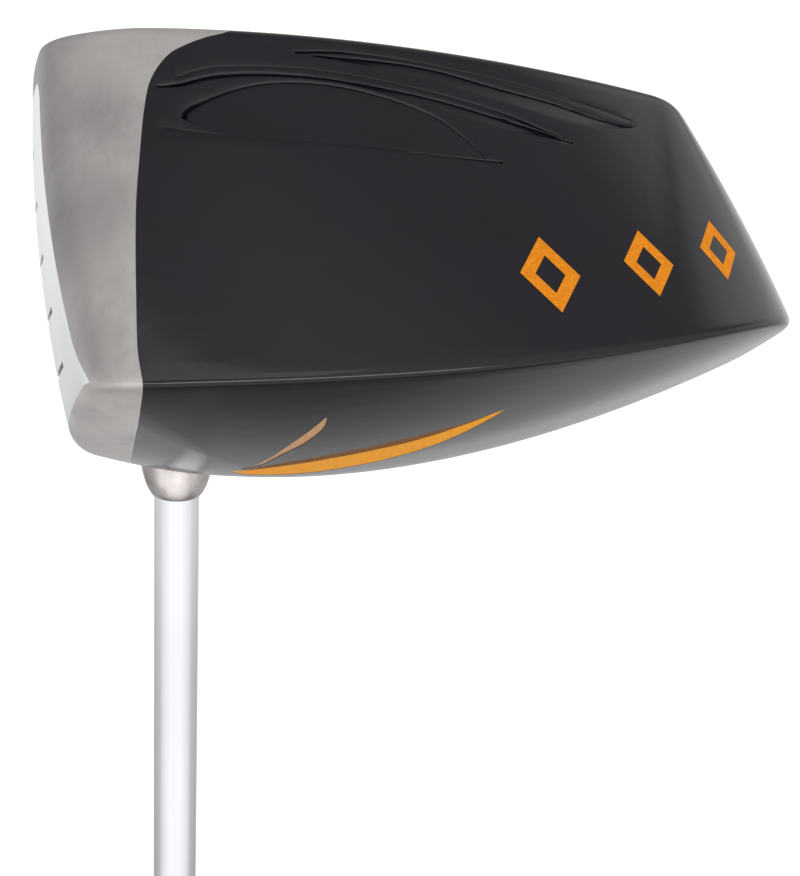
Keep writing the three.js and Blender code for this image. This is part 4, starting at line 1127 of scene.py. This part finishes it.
class DRIVER_OT_slashes(bpy.types.Operator):
    """Lays the orange paint into the two slashes of the crown, with a painted shadow along the long one"""
    bl_idname = "driver.slashes"
    bl_label = "Crown slashes"

    def execute(self, context):
        crown = head_place("crown")
        for name, curves, tops, gaps, setting, replaced in SLASH_PAINTS:
            fill = strip(curves, crown, straight(tops, SLASH_DEPTH, gaps), tip=PAINT_TIP)
            paint = flake_paint(name, tuple(getattr(finishes(), setting)))
            piece(name, fill, paint, replaced, HEAD_PLACE)
        return {"FINISHED"}


class DRIVER_OT_marks(bpy.types.Operator):
    """Paints a row of three plain lozenges on the toe wall"""
    bl_idname = "driver.marks"
    bl_label = "Marks"

    def execute(self, context):
        paint = flake_paint("orange_flake_paint", tuple(finishes().orange))
        toe = head_place("toe")
        for index, (centre, half_sizes) in enumerate(MARKS):
            rings = [lozenge(Vector(centre), Vector(half_sizes), share) for share in (1, MARK_OPENING)]
            mark = frame_plate(*rings, toe, sizes().mark_lift / MM, -MARK_SINK)
            piece(f"mark_{index + 1}", mark, paint, (), HEAD_PLACE)
        return {"FINISHED"}


class DRIVER_OT_hosel(bpy.types.Operator):
    """Turns the bowl-shaped hosel about the shaft line"""
    bl_idname = "driver.hosel"
    bl_label = "Hosel"

    def execute(self, context):
        rim, bore = HEAD_ZERO_HEIGHT + HOSEL["rim"], HOSEL["bore"]
        bowl = [bezier(*[Vector(point) for point in HOSEL_BOWL], step / HOSEL_BOWL_STEPS)
                for step in range(1, HOSEL_BOWL_STEPS + 1)]
        profile = [(bore, rim + HOSEL["bevel_height"]), (bore + HOSEL["bevel"], rim),
                   (HOSEL["rim_radius"], rim)]
        profile += [(point.x, rim + point.y) for point in bowl]
        profile += [(HOSEL["neck"], rim + HOSEL["neck_from"]), (HOSEL["neck"], rim + HOSEL["end"]),
                    (bore, rim + HOSEL["end"])]
        # The hosel's metal gets painted shade and a painted highlight in bands across it.
        metal = brushed_metal("hosel_metal", HOSEL_COLOUR, low=0.2, high=0.32, grain=HOSEL_GRAIN,
                              painted_light_fades=HOSEL_PAINTED_LIGHT, metallic=1.0, cloud_scale=260, contrast=1.6)
        turned("hosel_skin", profile, metal, "hosel_tube", sharp=40)
        return {"FINISHED"}


class DRIVER_OT_shaft(bpy.types.Operator):
    """Turns the stepped chrome shaft"""
    bl_idname = "driver.shaft"
    bl_label = "Shaft"

    def execute(self, context):
        butt, tip, count, edge = reach("shaft_tube", HIGH, X), SHAFT["tip"], SHAFT["steps"], SHAFT["edge"]
        bottom, top = reach("shaft_tube", LOW, Z), reach("shaft_tube", HIGH, Z)
        slope, size = sizes().step_slope / MM, (butt - tip) / count
        tip_start = top - SHAFT["straight_tip"]
        first = tip_start - (count - 1) * SHAFT["spacing"]
        profile = [(butt, bottom)]
        for step in range(count):
            height, radius = first + step * SHAFT["spacing"], butt - step * size
            profile += [
                (radius, height - SHAFT["above"]),
                (radius - edge, height),
                (radius - size + edge, height + slope - SHAFT["below"]),
                (radius - size, height + slope),
            ]
        inner_butt, inner_tip = butt - SHAFT["wall"], tip - SHAFT["wall"]
        profile += [(tip, top), (inner_tip, top), (inner_tip, tip_start),
                    (inner_butt, first - SHAFT["spacing"]), (inner_butt, bottom)]
        turned("shaft_skin", profile, chrome(), "shaft_tube", sharp=25)
        return {"FINISHED"}


class DRIVER_OT_grip(bpy.types.Operator):
    """Turns the grip with its rings of grooves, and its end cap"""
    bl_idname = "driver.grip"
    bl_label = "Grip"

    def execute(self, context):
        rubber = grip_rubber()
        turned("grip_sleeve_skin", self.sleeve(), rubber, "grip_sleeve", sharp=50)
        turned("grip_cap_skin", self.cap(), rubber, "grip_end_cap", sharp=40)
        return {"FINISHED"}

    def sleeve(self):
        """The closed profile of the sleeve."""
        radius, bottom = reach("grip_sleeve", HIGH, X), reach("grip_sleeve", LOW, Z)
        top, tape_top = reach("grip_sleeve", HIGH, Z), reach("grip_tape", HIGH, Z)
        start, waist = Vector((radius, bottom + GRIP["edge"])), Vector(GRIP["waist"])
        mouth = Vector((GRIP["mouth"], top - GRIP["mouth_edge_height"]))
        depth, steps = sizes().groove_depth / MM, sizes().grip_rings * GROOVE_STEPS
        profile = [(radius - GRIP["edge"], bottom)]
        for step in range(steps + 1):
            at = bezier(start, waist, mouth, step / steps)
            grooved = GROOVES_FROM < step / steps < GROOVES_TO and step % GROOVE_STEPS in GROOVE_AT
            profile.append((at.x - (depth if grooved else 0), at.y))
        profile += [(mouth.x - GRIP["mouth_edge"], top), (GRIP["collar"], top), (GRIP["collar"], tape_top)]
        return profile + [(GRIP["bore"], tape_top), (GRIP["bore"], bottom)]

    def cap(self):
        """The closed profile of the end cap, from its vent up and round to its ringed outer face."""
        radius, top = reach("grip_end_cap", HIGH, X), reach("grip_end_cap", HIGH, Z)
        edge_in, edge_up = CAP["edge_middle"]
        profile = [(CAP["vent"], 0), (CAP["vent"], top), (CAP["plug"], top), (CAP["plug"], CAP["flange"]),
                   (radius, CAP["flange"]), (radius, CAP["edge"]), (radius - edge_in, edge_up),
                   (radius - CAP["edge"], 0)]
        for ring in CAP["rings"]:
            profile += [
                (ring + CAP_RING_HALF, 0),
                (ring + CAP_RING_FLOOR_HALF, CAP["ring_depth"]),
                (ring - CAP_RING_FLOOR_HALF, CAP["ring_depth"]),
                (ring - CAP_RING_HALF, 0),
            ]
        return profile


class DRIVER_OT_inside(bpy.types.Operator):
    """Gives the pieces inside the head and under the grip their finish"""
    bl_idname = "driver.inside"
    bl_label = "Inner pieces"

    def execute(self, context):
        for name, colour, roughness, metallic, grain, solids in INNER_FINISHES:
            dress(solids, plain(name, colour, roughness, metallic, grain))
        return {"FINISHED"}


class DRIVER_OT_stage(bpy.types.Operator):
    """Sets the floor, the light and the camera"""
    bl_idname = "driver.stage"
    bl_label = "Stage"

    def execute(self, context):
        context.scene.view_settings.view_transform = "Standard"
        studio_world()
        studio_floor()
        zero = Vector((0, 0, HEAD_ZERO_HEIGHT * MM))
        power = finishes().key_light
        area_lamp("key", zero + KEY_LAMP[0], zero, KEY_LAMP[1], power)
        fill = area_lamp("fill", zero + FILL_LAMP[0], zero, FILL_LAMP[1], power * FILL_SHARE)
        fill.visible_glossy = False
        context.scene.camera = photo_camera(zero)
        return {"FINISHED"}


class DRIVER_PT_panel(bpy.types.Panel):
    """Lists the driver's operators and settings"""
    bl_idname = "DRIVER_PT_panel"
    bl_label = "Golf driver"
    bl_space_type = "VIEW_3D"
    bl_region_type = "UI"
    bl_category = "Golf driver"

    def draw(self, context):
        for group in (context.scene.driver_sizes, context.scene.driver_finishes):
            box = self.layout.box()
            for name in group.__annotations__:
                box.prop(group, name)
        for operator in OPERATORS:
            self.layout.operator(operator.bl_idname)


OPERATORS = (DRIVER_OT_head, DRIVER_OT_slashes, DRIVER_OT_marks, DRIVER_OT_hosel, DRIVER_OT_shaft,
             DRIVER_OT_grip, DRIVER_OT_inside, DRIVER_OT_stage)
CLASSES = (DriverSizes, DriverFinishes, *OPERATORS, DRIVER_PT_panel)


def register():
    """Adds the settings, the operators and the panel to Blender."""
    for cls in CLASSES:
        bpy.utils.register_class(cls)
    bpy.types.Scene.driver_sizes = PointerProperty(type=DriverSizes)
    bpy.types.Scene.driver_finishes = PointerProperty(type=DriverFinishes)


def unregister():
    """Takes them out again."""
    del bpy.types.Scene.driver_finishes
    del bpy.types.Scene.driver_sizes
    for cls in reversed(CLASSES):
        bpy.utils.unregister_class(cls)


def main():
    """Builds every group of pieces and the stage in order."""
    register()
    for step in (bpy.ops.driver.head, bpy.ops.driver.slashes, bpy.ops.driver.marks, bpy.ops.driver.hosel,
                 bpy.ops.driver.shaft, bpy.ops.driver.grip, bpy.ops.driver.inside, bpy.ops.driver.stage):
        step()


if __name__ == "__main__":
    main()
